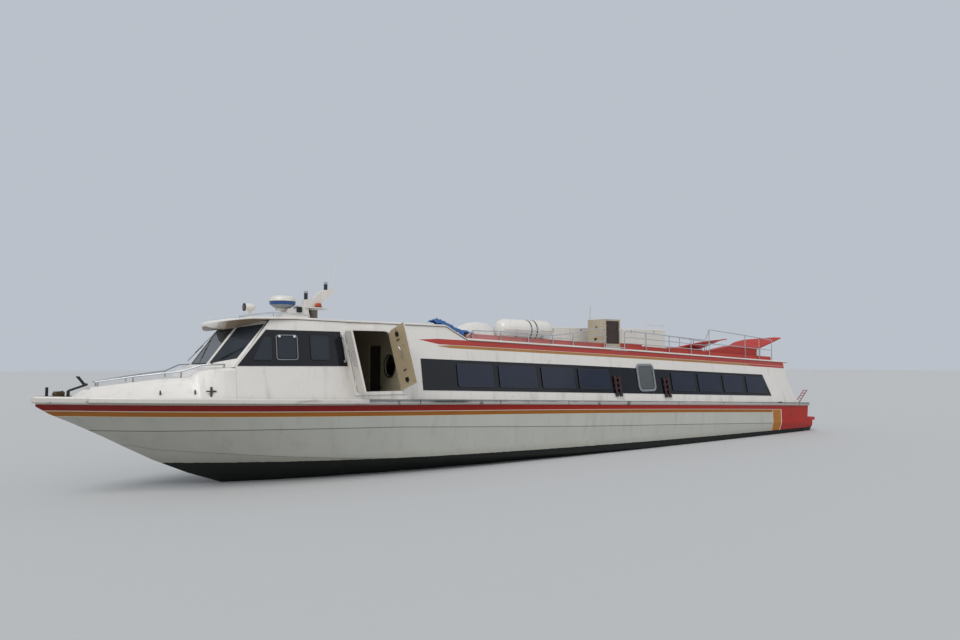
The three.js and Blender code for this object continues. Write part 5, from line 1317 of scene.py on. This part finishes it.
eyes = bmesh.new()
for x, z in ((22.88, 2.02), (22.26, 2.03)):
    at, out = outside_of("foredeck", x, z)
    tube(eyes, [at + Vector((0, 0, -0.05)) + out * 0.012, at + Vector((0, 0, 0.05)) + out * 0.012], 0.016)
    tube(eyes, [at + Vector((0, 0, 0.04)), at + Vector((0, 0, 0.04)) + out * 0.045,
                at + Vector((0, 0, -0.04)) + out * 0.045, at + Vector((0, 0, -0.04))], 0.007)
at, out = outside_of("foredeck", 21.97, 2.05)
tube(eyes, [at + Vector((0, 0, -0.11)) + out * 0.03, at + Vector((0, 0, 0.09)) + out * 0.03], 0.024)
tube(eyes, [at + Vector((-0.10, 0, 0.0)) + out * 0.03, at + Vector((0.10, 0, 0.0)) + out * 0.03], 0.014)
tube(eyes, [at - out * 0.01, at + out * 0.03], 0.03)
both_sides(eyes)
fitting_grey = metal("fitting_grey", "5d5d5e", "3c3b3b", 0.55, 0.6)
finished("foredeck_fittings", eyes, fitting_grey)


# The bow gear: a black iron post, a black stocked anchor with rust coming through, and a brown mooring
# rope that starts at the post and lies in a coil behind it.

black_iron = Finish("black_iron", roughness=0.6, metallic=0.1)
rust = black_iron.noise(14, 5)
iron_tint = black_iron.mix(rust, tone("18181a"), tone("2a2827"))
iron_tint = black_iron.mix((rust - 0.5).spread(0.08, 0.18) * 0.8, iron_tint, tone("4d2f20"))
black_iron.set(base_color=iron_tint, roughness=0.5 + rust * 0.3)
black_iron.bump(rust, 0.004)
dress("bow_post", black_iron, edge=0.006, sharp=32)
dress("anchor", black_iron, edge=0.004, sharp=32)
bills = bmesh.new()
for y in (0.15, -0.15):
    tube(bills, [(24.236, y - 0.055, 2.366), (24.236, y + 0.055, 2.366)], 0.013)
    tube(bills, [(24.13, y, 2.225), (24.236, y, 2.366)], 0.014)
ball(bills, (24.11, 0.172, 2.215), 0.028)
ball(bills, (24.11, -0.172, 2.215), 0.028)
finished("anchor_bills", bills, black_iron)

coil_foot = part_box("rope_coil")[0][2]
post_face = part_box("bow_post")[0][0]
rope_radius = 0.010
rope_points = [Vector((post_face - 0.001, 0.0, coil_foot + 0.014))]
turns, steps = 5.6, 26
for i in range(int(turns * steps) + 1):
    turn = i / steps
    angle = turn * math.tau
    reach = 0.100 + 0.003 * math.sin(2.3 * turn) - max(0.0, turn - 4.6) * 0.028
    lift = 0.0122 + 0.0212 * turn + 0.001 * math.sin(angle * 1.7)
    rope_points.append(Vector((24.56 + reach * math.cos(angle), reach * math.sin(angle), coil_foot + lift)))
rope_curve = bpy.data.curves.new("mooring_rope", "CURVE")
rope_curve.dimensions = "3D"
rope_curve.bevel_depth = rope_radius
rope_curve.bevel_resolution = 4
rope_curve.use_fill_caps = True
rope_line = rope_curve.splines.new("POLY")
rope_line.points.add(len(rope_points) - 1)
for knot_point, at in zip(rope_line.points, rope_points):
    knot_point.co = (*at, 1)
rope_line.use_smooth = True
rope_fibre = Finish("rope_fibre", roughness=0.95)
lay = (rope_fibre.x * 330 + rope_fibre.y * 330 + rope_fibre.z * 420).wave()
fibre = rope_fibre.noise(260, 3)
rope_tint = rope_fibre.mix(rope_fibre.noise(12, 3), tone("7d6746"), tone("5b4a33"))
# Painted shade: darker brown in the grooves between the strands of the lay.
rope_tint = rope_fibre.mix(lay.spread(-1.0, 0.2) * 0.6, tone("33291c"), rope_tint)
rope_fibre.set(base_color=rope_tint)
rope_fibre.bump(lay * 0.7 + fibre * 0.3, 0.002)
rope_curve.materials.append(rope_fibre.material)
rope = bpy.data.objects.new("mooring_rope", rope_curve)
bpy.context.scene.collection.objects.link(rope)
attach(rope, "boat")
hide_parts("rope_coil")


# The stern: a red boarding platform with a grey non-slip tread and two exhaust outlets, and on each
# quarter a drain, a short dark bar, and a boarding ladder in red with black feet and a white staff.

stern_red = red_paint_on("stern_red", "b91f0d", "9c1b0c", 0.0)
under_water = stern_red.z.below(0.15, 0.004)
tread = stern_red.z.above(0.518, 0.001) * abs(stern_red.y).below(1.66, 0.003)
tread = tread * stern_red.x.between(-0.83, -0.2, 0.003)
fouled = stern_red.mix(stern_red.noise(9, 5), tone("0f1114"), tone("1f201b"))
wet_red = stern_red.mix(stern_red.noise(2, 4), tone("b91f0d"), tone("9a1a0b"))
pad_grey = stern_red.mix(stern_red.noise(40, 3), tone("4a4c4e"), tone("36383a"))
stern_red.set(base_color=stern_red.mix(tread, stern_red.mix(under_water, wet_red, fouled), pad_grey))
dress("stern_platform", stern_red, edge=0.01)
outlets = bmesh.new()
for y in (0.85, -0.85):
    facing_aft = Matrix.Translation((-0.651, y, 0.12)) @ Matrix.Rotation(-math.pi / 2, 4, "Y")
    pipe_section = [(0.075, 0.0), (0.098, 0.0), (0.098, 0.035), (0.090, 0.045), (0.075, 0.045), (0.075, 0.0)]
    turned(outlets, pipe_section, facing_aft, 32)
finished("exhaust_outlets", outlets, latch_black)
drains = bmesh.new()
at = outside_of("hull", 1.06, 0.68)[0]
facing_out = Matrix.Translation(at + Vector((0, 0.001, 0))) @ Matrix.Rotation(-math.pi / 2, 4, "X")
drain_section = [(0.0, 0.004), (0.020, 0.004), (0.022, 0.008), (0.036, 0.006), (0.038, -0.004)]
drain_section += [(0.0, -0.004)]
turned(drains, drain_section, facing_out, 24)
at = outside_of("side_fender_port", 1.94, sheer(1.94) - 0.03)[0]
tube(drains, [at + Vector((-0.13, 0.006, 0.02)), at + Vector((0.13, 0.006, 0.02))], 0.016)
both_sides(drains)
finished("quarter_drains", drains, fitting_grey)
ladders = bmesh.new()
ladder_feet = bmesh.new()
rail_foot, rail_head = Vector((0.30, 0, 1.20)), Vector((-0.20, 0, 1.58))
inner_rail, outer_rail = 1.72, 1.86
for y in (inner_rail, outer_rail):
    tube(ladders, [rail_foot + Vector((0, y, 0)), rail_head + Vector((0, y, 0))], 0.013)
    tube(ladder_feet, [rail_foot + Vector((0.0, y, 0)), rail_foot + Vector((0.10, y, -0.05))], 0.016)
for share in (0.2, 0.45, 0.7, 0.95):
    at = rail_foot.lerp(rail_head, share)
    tube(ladders, [at + Vector((0, inner_rail, 0)), at + Vector((0, outer_rail, 0))], 0.010)
both_sides(ladders)
both_sides(ladder_feet)
ladder_red = red_paint_on("ladder_red", "9c1c22", "701418", 0.0)
finished("boarding_ladders", ladders, ladder_red)
finished("boarding_ladder_feet", ladder_feet, black_rubber)
staffs = bmesh.new()
tube(staffs, [(0.20, 1.79, 1.16), (-0.22, 1.79, 1.60)], 0.012)
both_sides(staffs)
finished("ladder_staffs", staffs, post_white)


# Running gear: shafts and struts in dull yellow metal, bronze propellers with patches of verdigris,
# and black rudders with patches of grey-brown scale.

shaft_metal = metal("shaft_metal", "b7a578", "8e7d56", 0.4, 0.9)
bronze = Finish("bronze", roughness=0.35, metallic=0.95)
verdigris = bronze.noise(9, 5)
bronze_tint = bronze.mix(verdigris, tone("b58a4a"), tone("8a6431"))
bronze_tint = bronze.mix((verdigris - 0.5).spread(0.08, 0.2) * 0.6, bronze_tint, tone("4f7a63"))
bronze.set(base_color=bronze_tint, roughness=0.28 + verdigris * 0.25)
bronze.bump(verdigris, 0.002)
rudder_paint = Finish("rudder_paint", roughness=0.7)
scale = rudder_paint.noise(12, 5)
rudder_tint = rudder_paint.mix(scale, tone("17191b"), tone("2b2b27"))
rudder_tint = rudder_paint.mix((scale - 0.5).spread(0.08, 0.18) * 0.7, rudder_tint, tone("5b5848"))
rudder_paint.set(base_color=rudder_tint)
rudder_paint.bump(scale, 0.004)
for side in ("port", "starboard"):
    dress("shaft_strut_" + side, shaft_metal, edge=0.003, sharp=32)
    dress("propeller_" + side, bronze, "propeller_" + side, edge=0.002, sharp=32)
    dress("rudder_" + side, rudder_paint, "rudder_" + side, edge=0.004, sharp=25)
